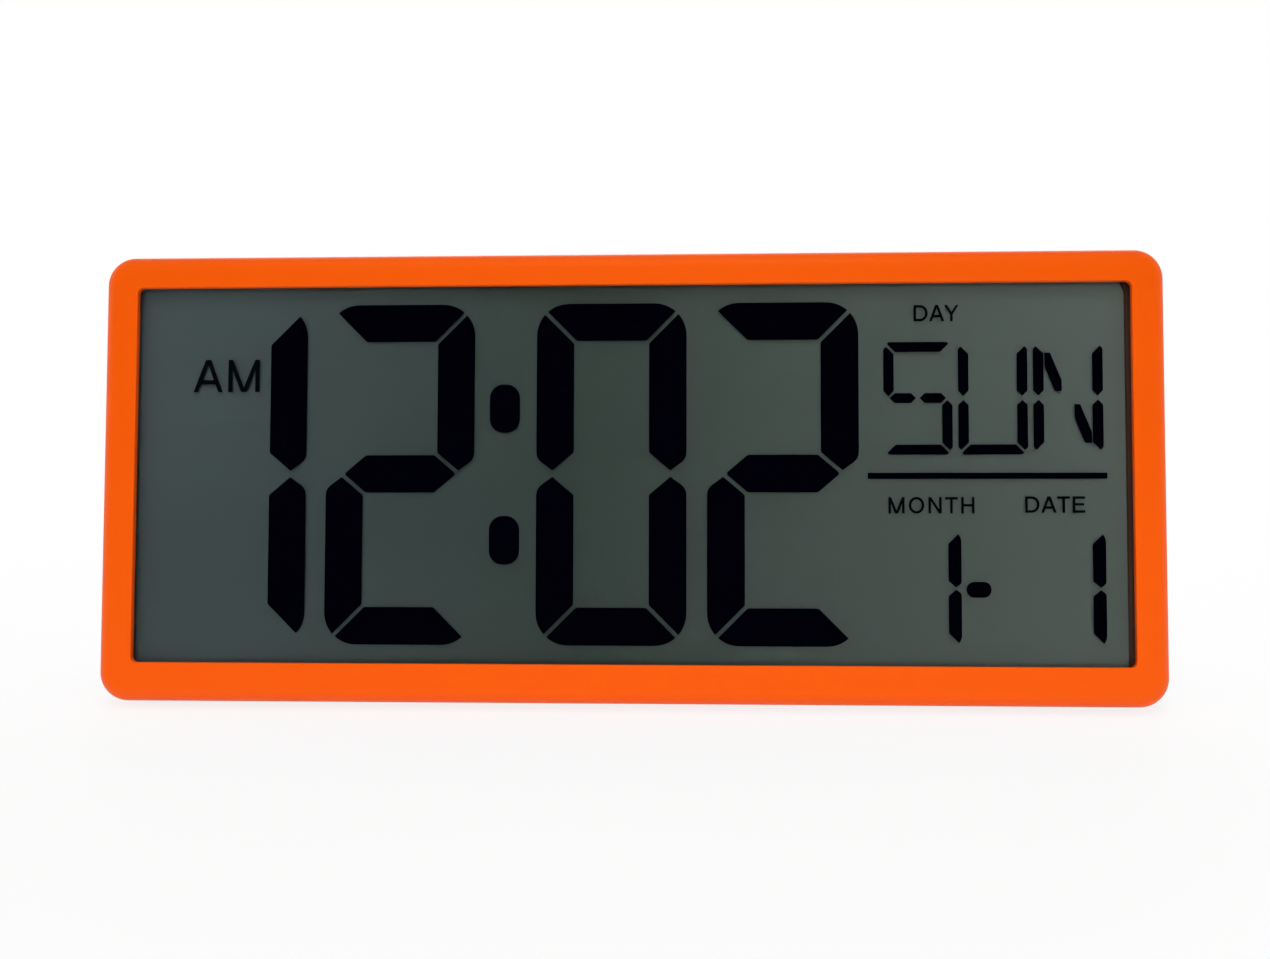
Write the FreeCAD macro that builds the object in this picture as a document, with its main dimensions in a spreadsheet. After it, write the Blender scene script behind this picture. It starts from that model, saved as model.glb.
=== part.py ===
# Jumbo day clock with a liquid crystal display, in a two-part moulded case with an easel stand.
# Every piece is drawn upright in the clock's own frame and then leaned back onto the table.
# Clock frame, in millimetres: X to the right as seen from the front, Y rearward from the front face,
# Z up from the middle of the front face.
import FreeCAD, Part
import Sketcher
import math
import os
from FreeCAD import Placement, Rotation, Vector

# name, value, what it is
DRIVING_SIZES = [
    # case
    ("case_width", 368.0, "overall width"),
    ("case_height", 156.0, "height of the bezel"),
    ("case_depth", 27.0, "front face to back face"),
    ("case_corner", 10.0, "corner radius seen from the front"),
    ("lean_angle", 12.0, "degrees the clock leans back on its stand"),
    ("bezel_depth", 15.0, "front face to the seam"),
    ("bezel_wall", 2.5, "side wall of the bezel"),
    ("bezel_front", 2.8, "thickness of the frame round the window"),
    ("bezel_roll", 5.0, "radius of the soft front edge"),
    ("frame_left", 12.1, "front frame, outside to window"),
    ("frame_right", 11.5, "front frame, outside to window"),
    ("frame_top", 11.35, "front frame, outside to window"),
    ("frame_bottom", 13.55, "front frame, outside to window"),
    ("window_corner", 2.0, "corner radius of the window"),
    ("window_edge", 0.5, "rounding of the window's front edge"),
    ("cover_step", 0.4, "how far the rear cover is inset from the bezel"),
    ("cover_wall", 2.6, "side wall of the rear cover"),
    ("cover_back", 2.2, "back wall of the rear cover"),
    ("cover_bottom", 2.2, "bottom wall of the rear cover at its thinnest"),
    ("cover_roll", 2.0, "radius of the rear edge"),
    # display
    ("gasket_thick", 0.5, "foam gasket"),
    ("gasket_width", 2.0, "width of the gasket's sides"),
    ("gasket_inset", 0.2, "gasket set back from the window"),
    ("film_thick", 0.2, "front polarizer"),
    ("film_overlap", 1.4, "films beyond the window"),
    ("film_short", 1.45, "films stop short of the window's right edge"),
    ("film_clip_width", 1.8, "clipped film corner, across"),
    ("film_clip_height", 4.6, "clipped film corner, down"),
    ("glass_thick", 1.1, "each glass"),
    ("glass_overlap", 2.2, "glass beyond the window"),
    ("contact_ledge", 3.3, "front glass below the rear glass"),
    ("cell_gap", 0.15, "layer between the two glasses"),
    ("seal_width", 1.6, "edge seal"),
    ("reflector_thick", 0.3, "rear polarizer and reflector"),
    # time digits
    ("digits_left", 7.5, "first digit in from the window's left edge"),
    ("digits_top", 5.95, "digits below the window's top edge"),
    ("digits_bottom", 6.35, "digits above the window's bottom edge"),
    ("digit_space", 7.1, "between the digits of a pair"),
    ("pair_space", 21.8, "between the pairs"),
    ("digit_stroke", 13.0, "segment width"),
    ("digit_gap", 1.4, "gap between segments"),
    ("digit_corner", 11.2, "outer corner radius"),
    ("joint_waist", 0.41, "middle joints cross the digit's middle this far in, as a share of the stroke"),
    ("joint_notch", 0.55, "notch between two uprights, as a share of the stroke"),
    ("joint_slope", 36.0, "degrees between a side of the notch and the digit's middle line"),
    ("joint_shoulder", 0.34, "rounding of an upright's outer shoulder, as a share of the stroke"),
    ("colon_left", 0.25, "colon left of the middle between the pairs"),
    ("colon_below", 0.2, "colon below the middle of the digits"),
    ("colon_width", 10.5, "colon dot"),
    ("colon_height", 16.9, "colon dot"),
    ("colon_corner", 4.8, "corner radius of a colon dot"),
    ("colon_pitch", 45.9, "between the middles of the dots"),
    # calendar
    ("small_digit_stroke", 4.4, "calendar digit segment"),
    ("small_digit_height", 40.0, "calendar digit"),
    ("small_digit_width", 20.0, "calendar digit"),
    ("small_digit_gap", 0.6, "gap between the calendar segments"),
    ("small_digit_corner", 4.2, "outer corner radius of a calendar digit"),
    ("month_inset", 49.5, "month digit in from the divider bar's right end"),
    ("date_inset", 0.8, "date digit in from the divider bar's right end"),
    ("dash_inset", 43.6, "middle of the dash in from the divider bar's right end"),
    ("dash_below", 0.4, "dash below the middle of the calendar digits"),
    ("dash_width", 8.35, "dash"),
    ("dash_height", 5.4, "dash"),
    ("dash_corner", 2.6, "corner radius of the dash"),
    ("bar_space", 2.95, "time digits to the divider bar"),
    ("bar_right", 8.0, "divider bar in from the window's right edge"),
    ("bar_drop", 66.2, "middle of the divider bar below the window's top edge"),
    ("bar_width", 81.15, "divider bar"),
    ("bar_height", 2.1, "divider bar"),
    # display retainer and board
    ("retainer_thick", 2.0, "retainer frame"),
    ("retainer_side", 12.0, "side and top bars of the retainer"),
    ("retainer_foot", 24.0, "bottom bar of the retainer"),
    ("retainer_rib", 8.0, "cross bars of the retainer"),
    ("retainer_rib_x", 58.0, "cross bars from the middle"),
    ("retainer_ear", 7.6, "height of a fixing ear"),
    ("column_inset", 5.8, "side screws in from the outside of the case"),
    ("ear_upper_drop", 30.0, "upper retainer screws below the top of the case"),
    ("ear_lower_rise", 48.0, "lower retainer screws above the bottom of the case"),
    ("zebra_width", 2.6, "zebra connector"),
    ("zebra_length", 130.0, "zebra connector"),
    ("zebra_x", 75.0, "middle of each zebra connector"),
    ("board_width", 300.0, "main board"),
    ("board_height", 26.0, "main board"),
    ("board_thick", 1.6, "main board"),
    ("board_screw_x", 140.0, "outer board screws"),
    ("board_screw_inset", 4.0, "board screws below the board's top edge"),
    ("chip_x", 20.0, "controller"),
    ("chip_radius", 8.0, "controller blob"),
    ("chip_height", 2.2, "controller blob"),
    ("crystal_x", 42.0, "crystal"),
    ("crystal_radius", 1.0, "crystal can"),
    ("crystal_length", 6.0, "crystal can"),
    # screws
    ("case_screw_drop", 5.4, "top case screws below the top of the case"),
    ("case_screw_inset", 19.0, "outer top case screws in from the side of the case"),
    ("case_screw_inner_x", 58.0, "inner top case screws"),
    ("case_screw_upper_z", 10.0, "upper side case screws"),
    ("case_screw_rise", 20.0, "lower side case screws above the bottom of the case"),
    ("case_screw_radius", 1.3, "shank"),
    ("case_screw_length", 12.0, "shank"),
    ("case_head_radius", 2.5, "head"),
    ("case_head_height", 1.8, "head"),
    ("case_head_sunk", 7.2, "seat of the head below the back face"),
    ("small_screw_radius", 0.9, "shank of the inner screws"),
    ("small_head_radius", 1.9, "head of the inner screws"),
    ("small_head_height", 1.3, "head of the inner screws"),
    ("retainer_screw_length", 5.0, "shank"),
    ("board_screw_length", 3.3, "shank"),
    ("screw_fit", 0.05, "room round a screw's shank"),
    ("head_fit", 0.4, "room round a screw's head"),
    ("boss_radius", 2.6, "screw boss in the bezel"),
    ("cover_boss_radius", 3.6, "screw boss in the rear cover"),
    # locating ribs and tongues
    ("rib_thick", 1.2, "rib beside the glass"),
    ("rib_length", 12.0, "rib beside the glass"),
    ("glass_play", 0.3, "room round the glass"),
    ("tongue_thick", 1.5, "tongue on the rear cover"),
    ("tongue_length", 14.0, "tongue on the rear cover"),
    ("tongue_reach", 2.2, "tongue forward of the seam"),
    ("tongue_root", 4.4, "tongue along the cover's wall"),
    ("tongue_fit", 0.2, "room outside a tongue"),
    ("tongue_x", 110.0, "outer tongues from the middle"),
    # stand
    ("leg_width", 60.0, "stand leg"),
    ("leg_tip_width", 50.0, "stand leg at its foot"),
    ("leg_thick", 3.0, "stand leg"),
    ("leg_tilt", 9.5, "degrees between the open leg and the vertical"),
    ("leg_panel_margin", 7.0, "rim round the leg's sunk panel"),
    ("leg_panel_depth", 0.8, "leg's sunk panel"),
    ("hinge_rise", 8.0, "hinge axis above the case centre"),
    ("hinge_set", 2.1, "hinge axis in from the back face"),
    ("barrel_radius", 2.0, "hinge barrel"),
    ("pin_radius", 1.0, "hinge pin"),
    ("pin_fit", 0.06, "room round the pin in the leg"),
    ("pin_seat", 2.6, "pin in each wall of the recess"),
    ("recess_gap", 0.6, "room beside the leg"),
    ("recess_depth", 4.6, "stand recess"),
    ("recess_wall", 3.2, "walls of the recess"),
    ("recess_floor", 2.0, "floor of the recess"),
    ("heel_gap", 0.3, "heel to the recess floor when open"),
    ("foot_length", 6.0, "rubber foot"),
    ("foot_tongue", 2.0, "tongue of the rubber foot"),
    ("foot_tongue_thick", 1.2, "tongue of the rubber foot"),
    # battery bay
    ("bay_x", 95.0, "middle of the battery bay"),
    ("bay_z", -5.0, "middle of the battery bay"),
    ("bay_length", 58.0, "inside"),
    ("bay_height", 32.0, "inside"),
    ("bay_floor_set", 17.0, "bay floor in from the back face"),
    ("bay_wall", 2.0, "walls of the bay"),
    ("bay_floor", 1.4, "floor of the bay"),
    ("door_thick", 2.0, "battery door"),
    ("door_ledge", 1.2, "door resting on the bay's walls"),
    ("door_gap", 0.3, "room round the door"),
    ("door_corner", 2.0, "corner radius of the door"),
    ("latch_thick", 1.2, "snap tongue on the door"),
    ("latch_width", 10.0, "snap tongue on the door"),
    ("latch_reach", 3.0, "snap tongue on the door"),
    ("grip_groove", 1.0, "grip grooves in the door"),
    ("grip_pitch", 2.4, "between grip grooves"),
    ("grip_length", 16.0, "grip grooves in the door"),
    ("grip_depth", 0.5, "grip grooves in the door"),
    ("cell_radius", 7.25, "AA cell"),
    ("cell_length", 49.2, "AA cell without its nub"),
    ("nub_radius", 2.75, "AA cell's nub"),
    ("nub_length", 1.3, "AA cell's nub"),
    ("cell_pitch", 15.2, "between the two cells' axes"),
    ("cell_floor_gap", 0.1, "cell to the bay's floor"),
    ("contact_thick", 0.4, "battery contacts"),
    ("contact_width", 9.0, "battery contacts"),
    ("dimple_height", 0.8, "dimple that meets the cell's nub"),
    ("lead_radius", 0.6, "battery leads"),
    ("lead_hole_radius", 0.9, "holes for the leads"),
    ("lead_set", 13.0, "leads leave the bay this far in from the back face"),
    ("lead_reach", 8.0, "nearer lead turns down this far from the bay"),
    ("lead_apart", 6.0, "between the two leads"),
    ("lead_bow", 2.0, "slack that a lead bows out by"),
    ("lead_back", 5.0, "leads come to the board from this far behind their holes"),
    # buttons and buzzer
    ("button_x", -80.0, "first button"),
    ("button_pitch", 18.0, "between buttons"),
    ("button_rise", 22.0, "row of buttons above the bottom of the case"),
    ("button_radius", 3.2, "button cap"),
    ("button_proud", 1.0, "cap beyond the back face"),
    ("button_gap", 0.3, "room round the cap"),
    ("button_flange", 4.2, "radius of the cap's flange"),
    ("button_flange_thick", 1.0, "cap's flange"),
    ("button_flange_gap", 0.3, "flange to the back wall"),
    ("button_travel", 0.6, "button travel"),
    ("button_spare", 0.3, "cap to the switch's plunger when pressed"),
    ("sleeve_wall", 1.0, "guide sleeve round a button"),
    ("sleeve_depth", 5.0, "guide sleeve round a button"),
    ("switch_side", 6.0, "tact switch"),
    ("switch_height", 3.5, "tact switch body"),
    ("plunger_radius", 1.7, "tact switch plunger"),
    ("plunger_height", 0.8, "tact switch plunger"),
    ("buzzer_x", 95.0, "piezo buzzer"),
    ("buzzer_rise", 26.0, "piezo buzzer above the bottom of the case"),
    ("buzzer_radius", 13.5, "piezo buzzer"),
    ("buzzer_thick", 0.5, "piezo buzzer"),
    ("buzzer_seat", 1.5, "ring that carries the buzzer"),
    ("buzzer_seat_width", 1.6, "ring that carries the buzzer"),
    ("grille_hole", 1.0, "radius of a grille hole"),
    ("grille_pitch", 5.0, "between grille holes"),
    # wall hanging
    ("keyhole_x", 120.0, "keyholes from the middle"),
    ("keyhole_drop", 30.0, "centre of a keyhole's head hole below the top of the case"),
    ("keyhole_radius", 4.5, "head hole"),
    ("keyhole_slot_radius", 2.1, "half the slot's width"),
    ("keyhole_rise", 9.0, "head hole to the top of the slot"),
]


class Size(float):
    """A length or angle that remembers the spreadsheet formula it comes from."""

    def __new__(cls, number, formula):
        size = super().__new__(cls, number)
        size.formula = formula
        return size

    def __add__(self, other):
        return Size(float(self) + float(other), f"({self.formula} + {formula(other)})")

    def __sub__(self, other):
        return Size(float(self) - float(other), f"({self.formula} - {formula(other)})")

    def __mul__(self, other):
        return Size(float(self) * float(other), f"({self.formula} * {formula(other)})")

    def __truediv__(self, other):
        return Size(float(self) / float(other), f"({self.formula} / {formula(other)})")

    def __rsub__(self, other):
        return Size(float(other) - float(self), f"({formula(other)} - {self.formula})")

    def __neg__(self):
        return Size(-float(self), f"(-{self.formula})")

    __radd__ = __add__
    __rmul__ = __mul__


def formula(size):
    return size.formula if isinstance(size, Size) else repr(float(size))


doc = FreeCAD.newDocument("day_clock")
sheet = doc.addObject("Spreadsheet::Sheet", "Sizes")
for row, (name, number, meaning) in enumerate(DRIVING_SIZES, start=1):
    sheet.set(f"A{row}", meaning)
    sheet.set(f"B{row}", str(number))
    sheet.setAlias(f"B{row}", name)
doc.recompute()


class Sheet:
    """The spreadsheet's sizes by name."""


S = Sheet()
for name, _, _ in DRIVING_SIZES:
    setattr(S, name, Size(sheet.get(name), f"Sizes.{name}"))


def sine(angle):
    return Size(math.sin(math.radians(angle)), f"sin({angle.formula})")


def cosine(angle):
    return Size(math.cos(math.radians(angle)), f"cos({angle.formula})")


def tangent(angle):
    return Size(math.tan(math.radians(angle)), f"tan({angle.formula})")


def square_root(size):
    return Size(math.sqrt(size), f"sqrt({size.formula})")


# ---------------------------------------------------------------- how the clock stands on the table

lean_cos, lean_sin, lean_tan = cosine(S.lean_angle), sine(S.lean_angle), tangent(S.lean_angle)

case_top = S.case_height / 2
case_bottom = -S.case_height / 2
hinge_y = S.case_depth - S.hinge_set
recess_floor_y = S.case_depth - S.recess_depth
hinge_drop = (S.hinge_rise - case_bottom) * lean_cos - (hinge_y - S.bezel_depth) * lean_sin
leg_length = hinge_drop / cosine(S.leg_tilt)
open_angle = S.leg_tilt + S.lean_angle

# The leg's top edge is its heel: it bears on the recess floor when the leg is open.
half_leg = S.leg_thick / 2
heel = (hinge_y - recess_floor_y - S.heel_gap - half_leg * cosine(open_angle)) / sine(open_angle)
heel_reach = square_root(heel * heel + half_leg * half_leg)

leaned = Rotation(Vector(1, 0, 0), -float(S.lean_angle))
table_line = leaned.multVec(Vector(0, S.bezel_depth, case_bottom))
# The clock is set down with the bezel's rear bottom edge on the table, and centred once all is drawn.
ON_TABLE = Placement(Vector(0, 0, -table_line.z), leaned)
HINGE = Vector(0, hinge_y, S.hinge_rise)
swung_open = Placement(HINGE, Rotation(Vector(1, 0, 0), float(open_angle)))
LEG_OPEN = ON_TABLE * swung_open * Placement(-HINGE, Rotation())

nodes = {}


def keep(piece, label, place=ON_TABLE):
    """Names a finished piece and stands it on the table."""
    piece.Label = label
    piece.Placement = place
    nodes[label] = piece
    return piece


# ---------------------------------------------------------------- drawing helpers

# Corner radius over half the width, for a slot whose ends are all but half round.
ROUND_END = 0.96


def bind(feature, **sizes):
    """Sets properties, and ties each one that comes from the spreadsheet to its formula."""
    for name, size in sizes.items():
        setattr(feature, name, size)
        if isinstance(size, Size):
            feature.setExpression(name, size.formula)


def place_at(feature, x, y, z, rotation=Rotation()):
    """Puts a primitive at a point of the clock frame, tied to the spreadsheet."""
    feature.Placement = Placement(Vector(x, y, z), rotation)
    for axis, size in zip("xyz", (x, y, z)):
        if isinstance(size, Size):
            feature.setExpression(f"Placement.Base.{axis}", size.formula)


def new_body(label, place=ON_TABLE):
    body = doc.addObject("PartDesign::Body", label)
    body.AllowCompound = True
    return keep(body, label, place)


def sketch_on(body, plane, offset=0.0):
    """A sketch on one of the body's planes: XZ_Plane at a depth, or YZ_Plane at an X."""
    sketch = body.newObject("Sketcher::SketchObject", "Outline")
    sketch.AttachmentSupport = [(next(o for o in body.Origin.OriginFeatures if o.Role == plane), "")]
    sketch.MapMode = "FlatFace"
    shift = -offset if plane == "XZ_Plane" else offset
    sketch.AttachmentOffset = Placement(Vector(0, 0, float(shift)), Rotation())
    if isinstance(shift, Size):
        sketch.setExpression("AttachmentOffset.Base.z", shift.formula)
    return sketch


def front_sketch(body, depth=0.0):
    return sketch_on(body, "XZ_Plane", depth)


def side_sketch(body, x=0.0):
    return sketch_on(body, "YZ_Plane", x)


def fix(sketch, *constraint):
    """Adds a sized constraint, tied to its formula."""
    size = constraint[-1]
    index = sketch.addConstraint(Sketcher.Constraint(*constraint[:-1], float(size)))
    if isinstance(size, Size):
        sketch.setExpression(f"Constraints[{index}]", size.formula)


def fix_point(sketch, geometry, end, across, up):
    fix(sketch, "DistanceX", -1, 1, geometry, end, across)
    fix(sketch, "DistanceY", -1, 1, geometry, end, up)


def circle(sketch, across, up, radius):
    ring = Part.Circle(Vector(across, up, 0), Vector(0, 0, 1), float(radius))
    index = sketch.addGeometry(ring)
    fix_point(sketch, index, 3, across, up)
    fix(sketch, "Radius", index, radius)


def polygon(sketch, corners):
    """A closed outline through the corners given."""
    points = [Vector(across, up, 0) for across, up in corners]
    count = len(points)
    lines = [sketch.addGeometry(Part.LineSegment(points[i], points[(i + 1) % count])) for i in range(count)]
    for i, (line, (across, up)) in enumerate(zip(lines, corners)):
        sketch.addConstraint(Sketcher.Constraint("Coincident", lines[i - 1], 2, line, 1))
        fix_point(sketch, line, 1, across, up)


def rectangle(sketch, left, bottom, width, height):
    right, top = left + width, bottom + height
    polygon(sketch, [(left, bottom), (right, bottom), (right, top), (left, top)])


def centred(sketch, across, up, width, height):
    rectangle(sketch, across - width / 2, up - height / 2, width, height)


def rounded(sketch, left, bottom, width, height, radius):
    """A rectangle with round corners: four lines and four arcs, tangent all round."""
    right, top = left + width, bottom + height
    turns = [(right - radius, bottom + radius, 270), (right - radius, top - radius, 0),
             (left + radius, top - radius, 90), (left + radius, bottom + radius, 180)]
    arcs = []
    for across, up, start in turns:
        ring = Part.Circle(Vector(across, up, 0), Vector(0, 0, 1), float(radius))
        arc = Part.ArcOfCircle(ring, math.radians(start), math.radians(start + 90))
        arcs.append(sketch.addGeometry(arc))
    for i, arc in enumerate(arcs):
        after = arcs[(i + 1) % 4]
        start, end = sketch.getPoint(arc, 2), sketch.getPoint(after, 1)
        line = sketch.addGeometry(Part.LineSegment(start, end))
        sketch.addConstraint(Sketcher.Constraint("Tangent", arc, 2, line, 1))
        sketch.addConstraint(Sketcher.Constraint("Tangent", line, 2, after, 1))
        sketch.addConstraint(Sketcher.Constraint("Vertical" if i % 2 == 0 else "Horizontal", line))
    for arc in arcs[1:]:
        sketch.addConstraint(Sketcher.Constraint("Equal", arcs[0], arc))
    fix(sketch, "Radius", arcs[0], radius)
    fix_point(sketch, arcs[3], 3, left + radius, bottom + radius)
    fix_point(sketch, arcs[1], 3, right - radius, top - radius)


def pad(sketch, length, symmetric=False, reverse=True):
    """Adds material: rearward from a front sketch, to the right from a side sketch with reverse off."""
    body = sketch.getParentGeoFeatureGroup()
    feature = body.newObject("PartDesign::Pad", "Pad")
    feature.Profile = sketch
    feature.Reversed = reverse
    if symmetric:
        feature.SideType = "Symmetric"
    bind(feature, Length=length)
    doc.recompute()
    return feature


def pocket(sketch, length, symmetric=False, reverse=False):
    """Cuts: rearward from a front sketch."""
    body = sketch.getParentGeoFeatureGroup()
    before = body.Shape.Volume
    feature = body.newObject("PartDesign::Pocket", "Pocket")
    feature.Profile = sketch
    feature.Reversed = reverse
    if symmetric:
        feature.SideType = "Symmetric"
    bind(feature, Length=length)
    doc.recompute()
    if body.Shape.Volume >= before:
        raise RuntimeError(f"a pocket cuts nothing in {body.Label}")
    return feature


def edges_in_plane(feature, depth, longest_loop=True):
    """Names the edges of the outer or inner loop that lies at a depth."""
    flat = [f for f in feature.Shape.Faces
            if abs(f.BoundBox.YMin - depth) < 1e-6 and f.BoundBox.YLength < 1e-6]
    wires = sorted((w for f in flat for w in f.Wires), key=lambda w: w.BoundBox.DiagonalLength)
    wanted = (wires[-1] if longest_loop else wires[-2]).Edges
    return [f"Edge{i}" for i, e in enumerate(feature.Shape.Edges, start=1)
            if any(e.isSame(w) for w in wanted)]


def round_loop(feature, depth, radius, outer=True):
    body = feature.getParentGeoFeatureGroup()
    blend = body.newObject("PartDesign::Fillet", "Fillet")
    blend.Base = (feature, edges_in_plane(feature, float(depth), outer))
    bind(blend, Radius=radius)
    doc.recompute()
    return blend


TO_REAR = Rotation(Vector(1, 0, 0), -90)
TO_RIGHT = Rotation(Vector(0, 1, 0), 90)


def cylinder(x, y, z, radius, length, rotation=TO_REAR):
    rod = doc.addObject("Part::Cylinder", "Rod")
    bind(rod, Radius=radius, Height=length)
    place_at(rod, x, y, z, rotation)
    return rod


def box(x, y, z, width, depth, height):
    """A block whose lowest corner is at x, y, z."""
    block = doc.addObject("Part::Box", "Block")
    bind(block, Length=width, Width=depth, Height=height)
    place_at(block, x, y, z)
    return block


def fuse(*pieces):
    joined = doc.addObject("Part::MultiFuse", "Fusion")
    joined.Shapes = list(pieces)
    return joined


def group(label, pieces):
    """A primitive, or several like pieces, in one node. The solids stay separate."""
    together = doc.addObject("Part::Compound", label)
    together.Links = list(pieces)
    return keep(together, label)


# ---------------------------------------------------------------- shared places

window_left = S.frame_left - S.case_width / 2
window_right = S.case_width / 2 - S.frame_right
window_bottom = case_bottom + S.frame_bottom
window_top = case_top - S.frame_top
window_width = window_right - window_left
window_height = window_top - window_bottom

glass_left = window_left - S.glass_overlap
glass_right = window_right + S.glass_overlap
glass_top = window_top + S.glass_overlap
rear_glass_bottom = window_bottom - S.glass_overlap
front_glass_bottom = rear_glass_bottom - S.contact_ledge

film_y = S.bezel_front + S.gasket_thick
front_glass_y = film_y + S.film_thick
cell_y = front_glass_y + S.glass_thick
rear_glass_y = cell_y + S.cell_gap
reflector_y = rear_glass_y + S.glass_thick
retainer_y = reflector_y + S.reflector_thick
board_y = retainer_y + S.retainer_thick
board_rear = board_y + S.board_thick
board_top = front_glass_bottom + S.board_height

inner_width = S.case_width / 2 - S.bezel_wall
inner_height = S.case_height / 2 - S.bezel_wall
back_inside = S.case_depth - S.cover_back
cover_half_width = S.case_width / 2 - S.cover_step
cover_top = S.case_height / 2 - S.cover_step

column_x = S.case_width / 2 - S.column_inset
outer_screw_x = S.case_width / 2 - S.case_screw_inset
top_screw_z = case_top - S.case_screw_drop
ear_upper_z = case_top - S.ear_upper_drop
ear_lower_z = case_bottom + S.ear_lower_rise
CASE_SCREWS = [(side * x, top_screw_z) for side in (-1, 1) for x in (outer_screw_x, S.case_screw_inner_x)]
CASE_SCREWS += [(side * column_x, height) for side in (-1, 1)
                for height in (S.case_screw_upper_z, case_bottom + S.case_screw_rise)]
RETAINER_SCREWS = [(side * column_x, height) for side in (-1, 1) for height in (ear_upper_z, ear_lower_z)]
board_screw_z = board_top - S.board_screw_inset
BOARD_SCREWS = [(side * S.board_screw_x, board_screw_z) for side in (-1, 1)]
BUTTONS = ["button_mode", "button_set", "button_up", "button_down"]
BUTTON_X = [S.button_x - S.button_pitch * i for i in range(len(BUTTONS))]
button_z = case_bottom + S.button_rise
buzzer_z = case_bottom + S.buzzer_rise
keyhole_z = case_top - S.keyhole_drop


# ---------------------------------------------------------------- case

def make_front_bezel():
    """Moulded frame with a soft front edge, a recessed window, screw bosses and ribs round the glass."""
    body = new_body("front_bezel")
    outline = front_sketch(body)
    rounded(outline, -S.case_width / 2, case_bottom, S.case_width, S.case_height, S.case_corner)
    block = pad(outline, S.bezel_depth)
    round_loop(block, 0, S.bezel_roll)

    cavity = front_sketch(body, S.bezel_front)
    rounded(cavity, -inner_width, -inner_height, inner_width * 2, inner_height * 2,
            S.case_corner - S.bezel_wall)
    pocket(cavity, S.bezel_depth)

    window = front_sketch(body)
    rounded(window, window_left, window_bottom, window_width, window_height, S.window_corner)
    opening = pocket(window, S.bezel_front)
    round_loop(opening, 0, S.window_edge, outer=False)

    bosses = front_sketch(body, S.bezel_front)
    for x, z in CASE_SCREWS:
        circle(bosses, x, z, S.boss_radius)
    pad(bosses, S.bezel_depth - S.bezel_front)
    pillars = front_sketch(body, S.bezel_front)
    for x, z in RETAINER_SCREWS:
        circle(pillars, x, z, S.boss_radius)
    pad(pillars, retainer_y - S.bezel_front)

    ribs = front_sketch(body, S.bezel_front)
    for x in (glass_left - S.glass_play - S.rib_thick, glass_right + S.glass_play):
        for z in (ear_upper_z - S.rib_length * 2, ear_lower_z + S.rib_length):
            rectangle(ribs, x, z, S.rib_thick, S.rib_length)
    for side in (-1, 1):
        centred(ribs, side * S.tongue_x, glass_top + S.glass_play + S.rib_thick / 2,
                S.rib_length, S.rib_thick)
    pad(ribs, cell_y - S.bezel_front)

    case_holes = front_sketch(body, S.case_depth - S.case_head_sunk - S.case_screw_length)
    for x, z in CASE_SCREWS:
        circle(case_holes, x, z, S.case_screw_radius + S.screw_fit)
    pocket(case_holes, S.bezel_depth)
    pillar_holes = front_sketch(body, board_y - S.retainer_screw_length)
    for x, z in RETAINER_SCREWS:
        circle(pillar_holes, x, z, S.small_screw_radius + S.screw_fit)
    pocket(pillar_holes, S.bezel_depth)


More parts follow.
